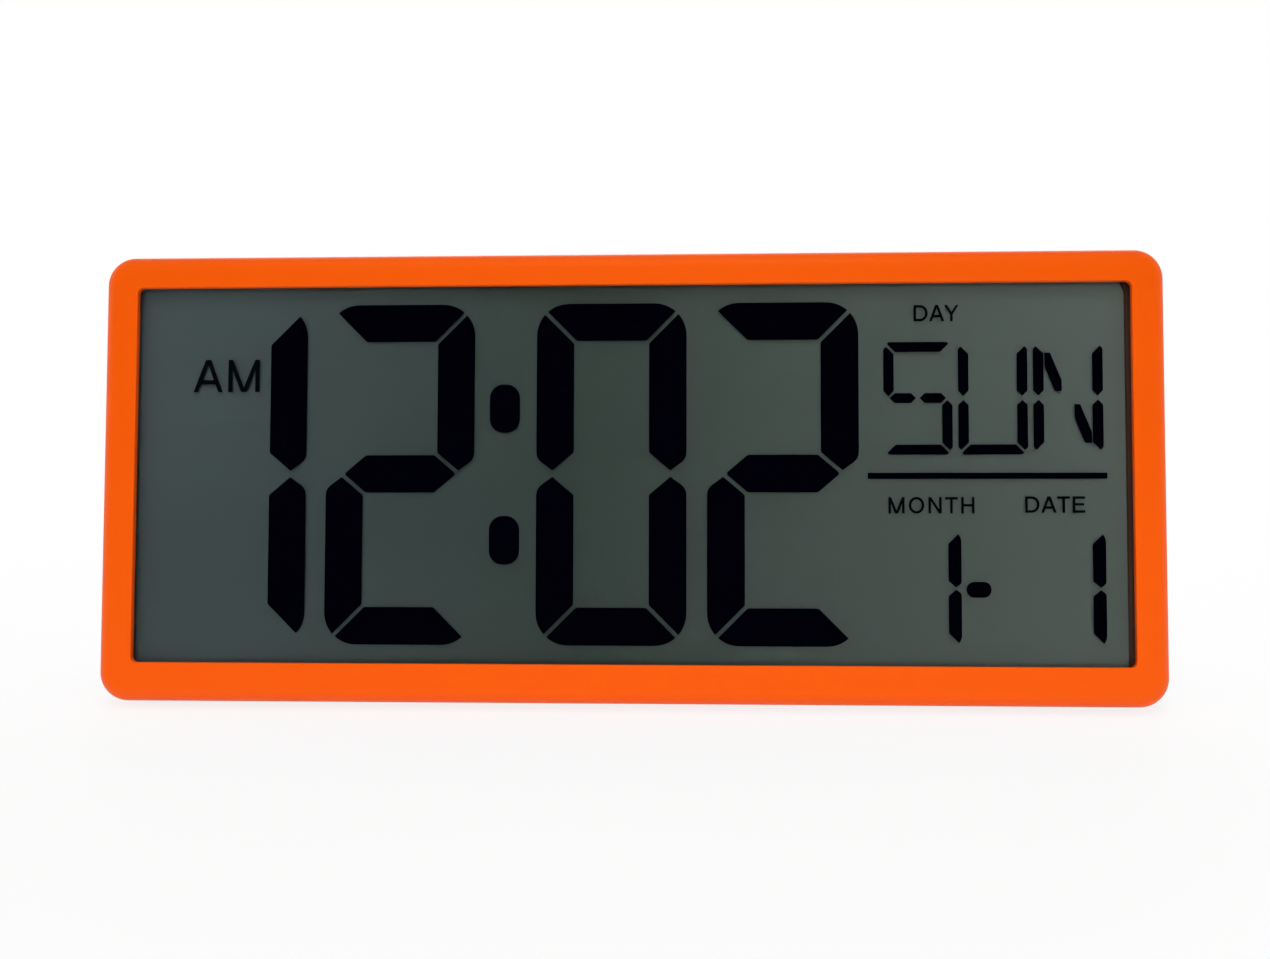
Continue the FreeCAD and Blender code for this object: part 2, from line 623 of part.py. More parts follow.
def make_rear_cover():
    """Moulded shell: stand recess, battery bay, button sleeves, buzzer grille and keyholes."""
    body = new_body("rear_cover")
    outline = front_sketch(body, S.bezel_depth)
    rounded(outline, -cover_half_width, case_bottom, cover_half_width * 2, cover_top - case_bottom,
            S.case_corner - S.cover_step)
    block = pad(outline, S.case_depth - S.bezel_depth)
    round_loop(block, S.case_depth, S.cover_roll)

    # The bottom is cut along the table, so that the leaning clock sits flat.
    beyond = S.case_depth + S.cover_roll
    land = side_sketch(body)
    polygon(land, [(S.bezel_depth, case_bottom), (beyond, case_bottom - S.cover_roll),
                   (beyond, case_bottom + (beyond - S.bezel_depth) * lean_tan)])
    pocket(land, S.case_width, symmetric=True)

    inside_bottom = case_bottom + (S.case_depth - S.bezel_depth) * lean_tan + S.cover_bottom
    inside_top = cover_top - S.cover_wall
    inside_half = cover_half_width - S.cover_wall
    cavity = front_sketch(body, S.bezel_depth)
    rounded(cavity, -inside_half, inside_bottom, inside_half * 2, inside_top - inside_bottom,
            S.case_corner - S.cover_step - S.cover_wall)
    pocket(cavity, back_inside - S.bezel_depth)

    tongues = front_sketch(body, S.bezel_depth - S.tongue_reach)
    top_tongue = inner_height - S.tongue_fit - S.tongue_thick / 2
    for x in (-S.tongue_x, 0.0, S.tongue_x):
        centred(tongues, x, top_tongue, S.tongue_length, S.tongue_thick)
        centred(tongues, x, -top_tongue, S.tongue_length, S.tongue_thick)
    side_tongue = inner_width - S.tongue_fit - S.tongue_thick / 2
    for side in (-1, 1):
        centred(tongues, side * side_tongue, ear_lower_z, S.tongue_thick, S.tongue_length)
    pad(tongues, S.tongue_reach + S.tongue_root)

    bosses = front_sketch(body, S.bezel_depth)
    for x, z in CASE_SCREWS:
        circle(bosses, x, z, S.cover_boss_radius)
    pad(bosses, back_inside - S.bezel_depth)

    # stand recess, with its own walls and floor inside the shell
    recess_half = S.leg_width / 2 + S.recess_gap
    recess_top = S.hinge_rise + heel_reach + S.recess_gap
    tub_y = recess_floor_y - S.recess_floor
    tub = front_sketch(body, tub_y)
    rectangle(tub, -recess_half - S.recess_wall, inside_bottom, (recess_half + S.recess_wall) * 2,
              recess_top + S.recess_wall - inside_bottom)
    pad(tub, back_inside - tub_y)
    recess = front_sketch(body, recess_floor_y)
    rectangle(recess, -recess_half, case_bottom - S.cover_roll, recess_half * 2,
              recess_top - case_bottom + S.cover_roll)
    pocket(recess, S.case_depth)
    pin_hole = side_sketch(body)
    circle(pin_hole, hinge_y, S.hinge_rise, S.pin_radius)
    pocket(pin_hole, (recess_half + S.pin_seat) * 2, symmetric=True)

    # battery bay
    bay_y = S.case_depth - S.bay_floor_set
    shell = front_sketch(body, bay_y - S.bay_floor)
    centred(shell, S.bay_x, S.bay_z, S.bay_length + S.bay_wall * 2, S.bay_height + S.bay_wall * 2)
    pad(shell, back_inside - bay_y + S.bay_floor)
    bay = front_sketch(body, bay_y)
    centred(bay, S.bay_x, S.bay_z, S.bay_length, S.bay_height)
    pocket(bay, S.case_depth)
    ledge = S.door_ledge + S.door_gap
    doorway = front_sketch(body, S.case_depth - S.door_thick)
    rounded(doorway, S.bay_x - S.bay_length / 2 - ledge, S.bay_z - S.bay_height / 2 - ledge,
            S.bay_length + ledge * 2, S.bay_height + ledge * 2, S.door_corner + S.door_gap)
    pocket(doorway, S.case_depth)
    lead_holes = side_sketch(body, S.bay_x + S.bay_length / 2)
    for side in (-1, 1):
        circle(lead_holes, S.case_depth - S.lead_set, S.bay_z + side * S.cell_pitch / 2, S.lead_hole_radius)
    pocket(lead_holes, S.bay_wall * 2, reverse=True)

    # button sleeves and buzzer seat
    sleeve_inner = S.button_flange + S.button_gap
    sleeves = front_sketch(body, back_inside - S.sleeve_depth)
    for x in BUTTON_X:
        circle(sleeves, x, button_z, sleeve_inner + S.sleeve_wall)
        circle(sleeves, x, button_z, sleeve_inner)
    pad(sleeves, S.sleeve_depth)
    seat = front_sketch(body, back_inside - S.buzzer_seat)
    circle(seat, S.buzzer_x, buzzer_z, S.buzzer_radius)
    circle(seat, S.buzzer_x, buzzer_z, S.buzzer_radius - S.buzzer_seat_width)
    pad(seat, S.buzzer_seat)

    # holes through the back
    through = front_sketch(body, back_inside - S.bezel_wall)
    for x in BUTTON_X:
        circle(through, x, button_z, S.button_radius + S.button_gap)
    for column in (-1, 0, 1):
        for line in (-1, 0, 1):
            circle(through, S.buzzer_x + column * S.grille_pitch, buzzer_z + line * S.grille_pitch,
                   S.grille_hole)
    for side in (-1, 1):
        circle(through, side * S.keyhole_x, keyhole_z, S.keyhole_radius)
    pocket(through, S.case_depth)
    slots = front_sketch(body, back_inside - S.bezel_wall)
    for side in (-1, 1):
        rounded(slots, side * S.keyhole_x - S.keyhole_slot_radius, keyhole_z - S.keyhole_slot_radius,
                S.keyhole_slot_radius * 2, S.keyhole_rise + S.keyhole_slot_radius * 2,
                S.keyhole_slot_radius * ROUND_END)
    pocket(slots, S.case_depth)

    heads = front_sketch(body, S.case_depth - S.case_head_sunk)
    shanks = front_sketch(body, S.bezel_depth)
    for x, z in CASE_SCREWS:
        circle(heads, x, z, S.case_head_radius + S.head_fit)
        circle(shanks, x, z, S.case_screw_radius + S.screw_fit)
    pocket(heads, S.case_depth)
    pocket(shanks, S.case_depth)


# ---------------------------------------------------------------- display

def make_sheet(label, depth, thick, left, bottom, right, top):
    """A flat rectangular sheet."""
    body = new_body(label)
    outline = front_sketch(body, depth)
    rectangle(outline, left, bottom, right - left, top - bottom)
    pad(outline, thick)


def make_film(label, depth, thick):
    """A polarizer: stops short of the window's right edge and has its top right corner clipped."""
    left, bottom = window_left - S.film_overlap, window_bottom - S.film_overlap
    right, top = window_right - S.film_short, window_top + S.film_overlap
    body = new_body(label)
    outline = front_sketch(body, depth)
    polygon(outline, [(left, bottom), (right, bottom), (right, top - S.film_clip_height),
                      (right - S.film_clip_width, top), (left, top)])
    pad(outline, thick)


def make_frame(label, depth, thick, left, bottom, right, top, width):
    """A flat rectangular ring."""
    body = new_body(label)
    outline = front_sketch(body, depth)
    rectangle(outline, left, bottom, right - left, top - bottom)
    rectangle(outline, left + width, bottom + width, right - left - width * 2, top - bottom - width * 2)
    pad(outline, thick)


def make_display_stack():
    reach = S.gasket_inset + S.gasket_width
    make_frame("lcd_gasket", S.bezel_front, S.gasket_thick, window_left - reach, window_bottom - reach,
               window_right + reach, window_top + reach, S.gasket_width)
    make_film("lcd_front_polarizer", film_y, S.film_thick)
    make_sheet("lcd_front_glass", front_glass_y, S.glass_thick,
               glass_left, front_glass_bottom, glass_right, glass_top)
    make_frame("lcd_edge_seal", cell_y, S.cell_gap, glass_left, rear_glass_bottom, glass_right, glass_top,
               S.seal_width)
    make_sheet("lcd_rear_glass", rear_glass_y, S.glass_thick,
               glass_left, rear_glass_bottom, glass_right, glass_top)
    make_film("lcd_reflector", reflector_y, S.reflector_thick)


# ---------------------------------------------------------------- segments

class Digit:
    """Outlines of a seven-segment digit: mitred ends, a gap at every joint and round outer corners."""

    def __init__(self, left, middle, width, height, stroke, gap, corner):
        self.left, self.right = float(left), float(left + width)
        self.middle, self.top = float(middle), float(middle + height / 2)
        self.bottom = float(middle - height / 2)
        self.stroke, self.gap, self.corner = float(stroke), float(gap), float(corner)
        self.waist = self.stroke * float(S.joint_waist)
        self.notch_depth = self.stroke * float(S.joint_notch)
        self.shoulder = self.stroke * float(S.joint_shoulder)

    def solid(self):
        """The whole figure eight with its side notches, before the joints are cut."""
        eight = rounded_face(self.left, self.bottom, self.right, self.top, self.corner)
        half = self.stroke / 2
        low_hole = (self.bottom + self.stroke, self.middle - half)
        high_hole = (self.middle + half, self.top - self.stroke)
        for low, high in (low_hole, high_hole):
            hole = flat_face([(self.left + self.stroke, low), (self.right - self.stroke, low),
                              (self.right - self.stroke, high), (self.left + self.stroke, high)])
            eight = eight.cut(hole)
        return eight.cut(self.notch(self.left, 1)).cut(self.notch(self.right, -1))

    def notch(self, side, inward):
        """Where an upper and a lower upright part: a wedge with round shoulders."""
        slope = math.radians(float(S.joint_slope))
        turn = (math.pi / 2 - slope) / 2
        corner = self.notch_depth * math.tan(slope)
        tangent_length = self.shoulder * math.tan(turn)
        arc_end = corner + tangent_length
        on_slope = (tangent_length * math.cos(slope), corner - tangent_length * math.sin(slope))
        on_arc = (self.shoulder * (1 - math.cos(turn)), arc_end - self.shoulder * math.sin(turn))
        on_edge = (0.0, arc_end)

        def place(point, up):
            return Vector(side + inward * point[0], 0, self.middle + up * point[1])

        tip, outside = place((self.notch_depth, 0.0), 1), (-self.stroke, arc_end)
        upper = [Part.LineSegment(tip, place(on_slope, 1)),
                 Part.Arc(place(on_slope, 1), place(on_arc, 1), place(on_edge, 1)),
                 Part.LineSegment(place(on_edge, 1), place(outside, 1)),
                 Part.LineSegment(place(outside, 1), place(outside, -1))]
        lower = [Part.LineSegment(place(outside, -1), place(on_edge, -1)),
                 Part.Arc(place(on_edge, -1), place(on_arc, -1), place(on_slope, -1)),
                 Part.LineSegment(place(on_slope, -1), tip)]
        return Part.Face(Part.Wire([edge.toShape() for edge in upper + lower]))

    def sector(self, letter):
        """The region of one segment, bounded by lines half a gap from the middle of its joints."""
        w, half = self.stroke, self.stroke / 2
        mitre = self.gap * math.sqrt(0.5)
        slope = math.atan2(half, w - self.waist)
        across, along = self.gap / 2 / math.sin(slope), self.gap / 2 / math.cos(slope)
        left, right, top, bottom, mid = self.left, self.right, self.top, self.bottom, self.middle
        far = w * 2
        inner_left, inner_right = left + w, right - w
        if letter in "ad":
            edge, inward = (top, -1) if letter == "a" else (bottom, 1)
            return [(left + mitre - far, edge - inward * far), (right - mitre + far, edge - inward * far),
                    (inner_right - mitre, edge + inward * w), (inner_left + mitre, edge + inward * w)]
        if letter == "g":
            tip = self.waist + across
            near, away = inner_left + across, inner_right - across
            return [(left + tip, mid), (near, mid + half), (away, mid + half),
                    (right - tip, mid), (away, mid - half), (near, mid - half)]
        up = 1 if letter in "bf" else -1
        side, inward = (right, -1) if letter in "bc" else (left, 1)
        outer_end = top if up == 1 else bottom
        return [(side - inward * far, outer_end + up * (far - mitre)),
                (side + inward * w, outer_end - up * (w + mitre)),
                (side + inward * w, mid + up * (half + along)),
                (side + inward * (self.waist - across), mid),
                (side - inward * far, mid)]

    def segments(self, letters):
        whole = self.solid()
        return [whole.common(flat_face(self.sector(letter))) for letter in letters]


def flat_face(corners):
    points = [Vector(float(x), 0, float(z)) for x, z in corners]
    return Part.Face(Part.makePolygon(points + points[:1]))


def rounded_face(left, bottom, right, top, radius):
    """A flat face with round corners."""
    plain = flat_face([(left, bottom), (right, bottom), (right, top), (left, top)])
    block = plain.extrude(Vector(0, 1, 0))
    upright = [e for e in block.Edges if abs(e.tangentAt(e.FirstParameter).y) > 0.5]
    block = block.makeFillet(float(radius), upright)
    return next(f for f in block.Faces if f.BoundBox.YMax < 1e-6)


def keep_segments(label, faces):
    """Lit segments fill the thin layer between the two glasses."""
    solids = []
    for face in faces:
        for part in (face.Faces or [face]):
            layer = part.extrude(Vector(0, float(S.cell_gap), 0))
            layer.translate(Vector(0, float(cell_y), 0))
            solids.append(layer)
    piece = doc.addObject("Part::Feature", label)
    piece.Shape = Part.makeCompound(solids)
    keep(piece, label)


bar_end = window_right - S.bar_right
bar_start = bar_end - S.bar_width
digit_height = window_height - S.digits_top - S.digits_bottom
digit_middle = window_bottom + S.digits_bottom + digit_height / 2
digit_width = (bar_start - S.bar_space - window_left - S.digits_left - S.digit_space * 2 - S.pair_space) / 4


def make_time_digits():
    """The four digits fill the window between its left edge and the calendar. They read 12:02."""
    first = window_left + S.digits_left
    third = first + (digit_width + S.digit_space) + (digit_width + S.pair_space)
    pitch = digit_width + S.digit_space
    faces = []
    time = [(first, "bc"), (first + pitch, "abged"), (third, "abcdef"), (third + pitch, "abged")]
    for left, letters in time:
        digit = Digit(left, digit_middle, digit_width, digit_height,
                      S.digit_stroke, S.digit_gap, S.digit_corner)
        faces += digit.segments(letters)
    keep_segments("time_digits", faces)
    dots = []
    x = third - S.pair_space / 2 - S.colon_left
    for side in (-1, 1):
        z = digit_middle - S.colon_below + side * S.colon_pitch / 2
        dots.append(rounded_face(x - S.colon_width / 2, z - S.colon_height / 2,
                                 x + S.colon_width / 2, z + S.colon_height / 2, S.colon_corner))
    keep_segments("colon_dots", dots)


def make_calendar():
    """Month and date stand on the same line as the time digits, below the divider bar. They read 1-1."""
    faces = []
    middle = window_bottom + S.digits_bottom + S.small_digit_height / 2
    for right in (bar_end - S.month_inset, bar_end - S.date_inset):
        digit = Digit(right - S.small_digit_width, middle, S.small_digit_width, S.small_digit_height,
                      S.small_digit_stroke, S.small_digit_gap, S.small_digit_corner)
        faces += digit.segments("bc")
    x, z = bar_end - S.dash_inset, middle - S.dash_below
    faces.append(rounded_face(x - S.dash_width / 2, z - S.dash_height / 2,
                              x + S.dash_width / 2, z + S.dash_height / 2, S.dash_corner))
    keep_segments("calendar_digits", faces)
    bar_low = window_top - S.bar_drop - S.bar_height / 2
    bar_high = bar_low + S.bar_height
    keep_segments("divider_bar", [flat_face([(bar_start, bar_low), (bar_end, bar_low), (bar_end, bar_high),
                                             (bar_start, bar_high)])])


# ---------------------------------------------------------------- inside

def make_retainer():
    """Moulded frame behind the display, screwed to the bezel by four ears. It carries the board."""
    body = new_body("lcd_retainer")
    left, right, top, bottom = glass_left, glass_right, glass_top, rear_glass_bottom
    outline = front_sketch(body, retainer_y)
    rectangle(outline, left, bottom, right - left, top - bottom)
    pad(outline, S.retainer_thick)
    ears = front_sketch(body, retainer_y)
    reach = column_x + S.boss_radius
    for z in (ear_upper_z, ear_lower_z):
        centred(ears, 0.0, z, reach * 2, S.retainer_ear)
    pad(ears, S.retainer_thick)
    gaps = front_sketch(body, retainer_y)
    rib_in, rib_out = S.retainer_rib_x - S.retainer_rib / 2, S.retainer_rib_x + S.retainer_rib / 2
    edges = [left + S.retainer_side, -rib_out, -rib_in, rib_in, rib_out, right - S.retainer_side]
    low, high = bottom + S.retainer_foot, top - S.retainer_side
    for start, end in zip(edges[::2], edges[1::2]):
        rectangle(gaps, start, low, end - start, high - low)
    pocket(gaps, S.retainer_thick)
    holes = front_sketch(body, retainer_y)
    for x, z in RETAINER_SCREWS + BOARD_SCREWS:
        circle(holes, x, z, S.small_screw_radius + S.screw_fit)
    pocket(holes, S.retainer_thick)


def make_board():
    """Main board on the retainer's bottom bar, with controller, crystal, switches and zebra connectors."""
    body = new_body("main_board")
    outline = front_sketch(body, board_y)
    rectangle(outline, -S.board_width / 2, front_glass_bottom, S.board_width, S.board_height)
    for x, z in BOARD_SCREWS:
        circle(outline, x, z, S.small_screw_radius + S.screw_fit)
    pad(outline, S.board_thick)

    blob = doc.addObject("Part::Sphere", "Blob")
    dome_radius = (S.chip_radius * S.chip_radius + S.chip_height * S.chip_height) / (S.chip_height * 2)
    bind(blob, Radius=dome_radius)
    chip_z = front_glass_bottom + S.board_height / 2
    place_at(blob, S.chip_x, board_rear + S.chip_height - dome_radius, chip_z)
    behind = box(S.chip_x - S.chip_radius * 2, board_rear, chip_z - S.chip_radius * 2,
                 S.chip_radius * 4, S.chip_height * 2, S.chip_radius * 4)
    dome = doc.addObject("Part::Common", "Dome")
    dome.Base, dome.Tool = blob, behind
    keep(dome, "controller_chip")
    group("quartz_crystal", [cylinder(S.crystal_x, board_rear + S.crystal_radius, chip_z, S.crystal_radius,
                                      S.crystal_length, TO_RIGHT)])

    switches = []
    for x in BUTTON_X:
        base = box(x - S.switch_side / 2, board_rear, button_z - S.switch_side / 2,
                   S.switch_side, S.switch_height, S.switch_side)
        plunger = cylinder(x, board_rear + S.switch_height, button_z, S.plunger_radius, S.plunger_height)
        switches.append(fuse(base, plunger))
    group("tact_switches", switches)

    zebra_bottom = rear_glass_bottom - (S.contact_ledge + S.zebra_width) / 2
    strips = [box(side * S.zebra_x - S.zebra_length / 2, cell_y, zebra_bottom,
                  S.zebra_length, board_y - cell_y, S.zebra_width) for side in (-1, 1)]
    group("zebra_connectors", strips)


def make_buttons():
    """Caps held in by a flange, with the switch a little way in front of each."""
    front_end = board_rear + S.switch_height + S.plunger_height + S.button_travel + S.button_spare
    flange_y = back_inside - S.button_flange_gap - S.button_flange_thick
    for label, x in zip(BUTTONS, BUTTON_X):
        body = new_body(label)
        stem = front_sketch(body, front_end)
        circle(stem, x, button_z, S.button_radius)
        cap = pad(stem, S.case_depth + S.button_proud - front_end)
        round_loop(cap, S.case_depth + S.button_proud, S.button_proud / 2)
        flange = front_sketch(body, flange_y)
        circle(flange, x, button_z, S.button_flange)
        pad(flange, S.button_flange_thick)


def make_buzzer():
    body = new_body("piezo_buzzer")
    disc = front_sketch(body, back_inside - S.buzzer_seat - S.buzzer_thick)
    circle(disc, S.buzzer_x, buzzer_z, S.buzzer_radius)
    pad(disc, S.buzzer_thick)


# ---------------------------------------------------------------- screws

def screw(x, seat, z, radius, length, head_radius, head_height):
    """A pan-head screw whose head sits behind its seat."""
    shank = cylinder(x, seat - length, z, radius, length)
    head = cylinder(x, seat, z, head_radius, head_height)
    return fuse(shank, head)


def make_screws():
    seat = S.case_depth - S.case_head_sunk
    group("case_screws", [screw(x, seat, z, S.case_screw_radius, S.case_screw_length, S.case_head_radius,
                                S.case_head_height) for x, z in CASE_SCREWS])
    group("retainer_screws", [screw(x, board_y, z, S.small_screw_radius, S.retainer_screw_length,
                                    S.small_head_radius, S.small_head_height) for x, z in RETAINER_SCREWS])
    group("board_screws", [screw(x, board_rear, z, S.small_screw_radius, S.board_screw_length,
                                 S.small_head_radius, S.small_head_height) for x, z in BOARD_SCREWS])


# ---------------------------------------------------------------- stand

def make_stand():
    """Folding easel leg on a steel pin: a heel stops it open, and its rubber foot is cut to the table."""
    front = hinge_y - half_leg
    tip_z = S.hinge_rise - leg_length
    shoulder = tip_z + S.foot_length
    cut_to_table = half_leg * tangent(S.leg_tilt)

    body = new_body("stand_leg", LEG_OPEN)
    plate = front_sketch(body, front)
    half_top, half_tip = S.leg_width / 2, S.leg_tip_width / 2
    polygon(plate, [(-half_tip, shoulder), (half_tip, shoulder),
                    (half_top, S.hinge_rise), (half_top, S.hinge_rise + heel),
                    (-half_top, S.hinge_rise + heel), (-half_top, S.hinge_rise)])
    pad(plate, S.leg_thick)
    barrel = side_sketch(body)
    circle(barrel, hinge_y, S.hinge_rise, S.barrel_radius)
    pad(barrel, S.leg_width, symmetric=True)
    bore = side_sketch(body)
    circle(bore, hinge_y, S.hinge_rise, S.pin_radius + S.pin_fit)
    pocket(bore, S.leg_width * 2, symmetric=True)
    panel = front_sketch(body, hinge_y + half_leg - S.leg_panel_depth)
    panel_half = half_tip - S.leg_panel_margin
    rounded(panel, -panel_half, shoulder + S.leg_panel_margin, panel_half * 2,
            leg_length - S.foot_length - S.leg_panel_margin * 2, S.leg_panel_margin / 2)
    pocket(panel, S.leg_thick)
    slot = side_sketch(body)
    rectangle(slot, hinge_y - S.foot_tongue_thick / 2, shoulder, S.foot_tongue_thick, S.foot_tongue)
    pocket(slot, S.leg_tip_width - S.leg_panel_margin, symmetric=True)

    foot = new_body("stand_foot", LEG_OPEN)
    profile = side_sketch(foot)
    polygon(profile, [(front, shoulder), (front, tip_z + cut_to_table),
                      (front + S.leg_thick, tip_z - cut_to_table), (front + S.leg_thick, shoulder)])
    pad(profile, S.leg_tip_width - S.foot_tongue, symmetric=True)
    tongue = side_sketch(foot)
    rectangle(tongue, hinge_y - S.foot_tongue_thick / 2, shoulder, S.foot_tongue_thick, S.foot_tongue)
    pad(tongue, S.leg_tip_width - S.leg_panel_margin, symmetric=True)

    pin_half = S.leg_width / 2 + S.recess_gap + S.pin_seat
    pin = cylinder(-pin_half, hinge_y, S.hinge_rise, S.pin_radius, pin_half * 2, TO_RIGHT)
    group("stand_hinge_pin", [pin])


# ---------------------------------------------------------------- batteries

bay_left = S.bay_x - S.bay_length / 2
bay_right = S.bay_x + S.bay_length / 2
cell_axis_y = S.case_depth - S.bay_floor_set + S.cell_floor_gap + S.cell_radius
contact_z = S.cell_pitch / 2


def make_battery_door():
    """Flush door held by two snap tongues. It lifts straight off."""
    width, height = S.bay_length + S.door_ledge * 2, S.bay_height + S.door_ledge * 2
    inner_face = S.case_depth - S.door_thick
    body = new_body("battery_door")
    plate = front_sketch(body, inner_face)
    rounded(plate, S.bay_x - width / 2, S.bay_z - height / 2, width, height, S.door_corner)
    pad(plate, S.door_thick)
    tongues = front_sketch(body, inner_face - S.latch_reach)
    for side in (-1, 1):
        offset = S.bay_height / 2 - S.door_gap - S.latch_thick / 2
        centred(tongues, S.bay_x, S.bay_z + side * offset, S.latch_width, S.latch_thick)
    pad(tongues, S.latch_reach)
    grooves = front_sketch(body, S.case_depth - S.grip_depth)
    for line in range(3):
        up = S.bay_z + height / 2 - S.grip_pitch * (line + 1)
        centred(grooves, S.bay_x, up, S.grip_length, S.grip_groove)
    pocket(grooves, S.door_thick)


def make_cells():
    """Two AA cells lying opposite ways. Each nub meets a dimpled contact."""
    gap = S.contact_thick + S.dimple_height
    for label, side in (("battery_cell_upper", 1), ("battery_cell_lower", -1)):
        z = S.bay_z + side * contact_z
        if side == 1:
            start = bay_right - gap - S.nub_length - S.cell_length
            nub = start + S.cell_length
        else:
            nub = bay_left + gap
            start = nub + S.nub_length
        can = cylinder(start, cell_axis_y, z, S.cell_radius, S.cell_length, TO_RIGHT)
        tip = cylinder(nub, cell_axis_y, z, S.nub_radius, S.nub_length, TO_RIGHT)
        keep(fuse(can, tip), label)


def make_contacts():
    """Sheet contacts: a plate with a dimple at each nub, a folded leaf at each flat end."""
    plate_y = cell_axis_y - S.contact_width / 2
    leaf_room = S.bay_length - S.contact_thick * 2 - S.dimple_height - S.nub_length - S.cell_length

    def plate(x, side):
        return box(x, plate_y, S.bay_z + side * contact_z - S.contact_width / 2,
                   S.contact_thick, S.contact_width, S.contact_width)

    def dimple(x, side):
        return cylinder(x, cell_axis_y, S.bay_z + side * contact_z, S.nub_radius, S.dimple_height, TO_RIGHT)

    def leaf(x, side, reach):
        """A sloping strip from the plate to the cell's flat end."""
        inward = 1 if reach > 0 else -1
        thick = S.contact_thick * inward
        low, high = plate_y, plate_y + S.contact_width
        corners = [(x, low), (x + reach, high - S.contact_width / 2), (x + reach, high),
                   (x + reach - thick, high), (x + reach - thick, high - S.contact_width / 2),
                   (x, low + S.contact_thick * 2)]
        points = [Vector(float(a), float(b), 0) for a, b in corners]
        outline = Part.Face(Part.makePolygon(points + points[:1]))
        strip = outline.extrude(Vector(0, 0, float(S.contact_width) / 2))
        strip.translate(Vector(0, 0, float(S.bay_z + side * contact_z - S.contact_width / 4)))
        feature = doc.addObject("Part::Feature", "Leaf")
        feature.Shape = strip
        return feature

    right_plate, left_plate = bay_right - S.contact_thick, bay_left
    keep(fuse(plate(right_plate, 1), dimple(right_plate - S.dimple_height, 1)), "battery_contact_positive")
    keep(fuse(plate(right_plate, -1), leaf(right_plate, -1, -leaf_room)), "battery_contact_negative")
    bridge = box(left_plate, plate_y, S.bay_z - contact_z, S.contact_thick, S.contact_width, S.cell_pitch)
    keep(fuse(plate(left_plate, 1), plate(left_plate, -1), bridge,
              dimple(left_plate + S.contact_thick, -1),
              leaf(left_plate + S.contact_thick, 1, leaf_room)), "battery_contact_bridge")


def bent_tube(points, radius):
    """A lead: straight runs joined by tangent arcs, each as large as its two runs allow."""
    trims = [0.0]
    for before, corner, after in zip(points, points[1:], points[2:]):
        trims.append(0.45 * min((corner - before).Length, (after - corner).Length))
    trims.append(0.0)
    edges = []
    start = points[0]
    for i in range(1, len(points) - 1):
        back = (points[i - 1] - points[i]).normalize() * trims[i]
        ahead = (points[i + 1] - points[i]).normalize() * trims[i]
        enter, leave = points[i] + back, points[i] + ahead
        bend = trims[i] / math.tan((-back).getAngle(ahead) / 2)
        print(f"lead bend radius {bend:.1f} mm")
        to_centre = (back + ahead).normalize()
        reach = math.hypot(bend, trims[i]) - bend
        middle = points[i] + to_centre * float(reach)
        edges += [Part.LineSegment(start, enter).toShape(), Part.Arc(enter, middle, leave).toShape()]
        start = leave
    edges.append(Part.LineSegment(start, points[-1]).toShape())
    path = Part.Wire(edges)
    ring = Part.Wire(Part.Circle(points[0], points[1] - points[0], float(radius)).toShape())
    tube = path.makePipeShell([ring], True, False)
    wanted = path.Length * math.pi * float(radius) ** 2
    print(f"lead length {path.Length:.1f} mm, volume ratio {tube.Volume / wanted:.4f}")
    return tube


def make_leads():
    """Leads from the two end contacts, through the bay's wall and down to the board."""
    out_y = S.case_depth - S.lead_set
    board_z = board_top - S.board_screw_inset
    for label, side, spread in (("battery_lead_red", 1, S.lead_apart), ("battery_lead_black", -1, 0.0)):
        z = S.bay_z + side * contact_z
        x = bay_right + S.lead_reach + spread
        drop = z - board_z
        points = [Vector(bay_right, out_y, z),
                  Vector(x, out_y, z),
                  Vector(x + S.lead_bow, out_y + S.lead_back * 0.4, z - drop * 0.36),
                  Vector(x + S.lead_bow / 2, out_y + S.lead_back * 0.8, z - drop * 0.7),
                  Vector(x - S.lead_bow, out_y + S.lead_back, board_z),
                  Vector(x - S.lead_bow, board_rear, board_z)]
        piece = doc.addObject("Part::Feature", label)
        piece.Shape = bent_tube(points, S.lead_radius)
        keep(piece, label)


make_front_bezel()
make_rear_cover()
make_display_stack()
make_time_digits()
make_calendar()
make_retainer()
make_board()
make_buttons()
make_buzzer()
make_screws()
make_stand()
make_battery_door()
make_cells()
make_contacts()
make_leads()
doc.recompute()

# ---------------------------------------------------------------- centring, checks and files

low_y = min(piece.Shape.optimalBoundingBox(False, False).YMin for piece in nodes.values())
high_y = max(piece.Shape.optimalBoundingBox(False, False).YMax for piece in nodes.values())
for piece in nodes.values():
    centred_place = Placement(piece.Placement)
    centred_place.Base.y -= (low_y + high_y) / 2
    piece.Placement = centred_place
doc.recompute()

for thing in doc.Objects:
    if "Invalid" in thing.State or "Error" in thing.State:
        raise RuntimeError(f"{thing.Label} didn't build: {thing.State}")
for label, piece in nodes.items():
    if piece.Shape.isNull() or not piece.Shape.isValid() or not piece.Shape.Solids:
        raise RuntimeError(f"{label} has no valid shape")

os.makedirs("parts", exist_ok=True)
for label, piece in nodes.items():
    piece.Shape.exportStep(f"parts/{label}.step")
    print(f"{label}: {len(piece.Shape.Solids)} solids, {piece.Shape.Volume:.0f} mm3")

shift = nodes["front_bezel"].Placement.Base
print(f"clock frame origin at {shift.x:.3f} {shift.y:.3f} {shift.z:.3f}, open angle {open_angle:.3f}")
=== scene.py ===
from math import atan2, cos, degrees, pi, radians, sin

import bpy
from mathutils import Matrix, Vector


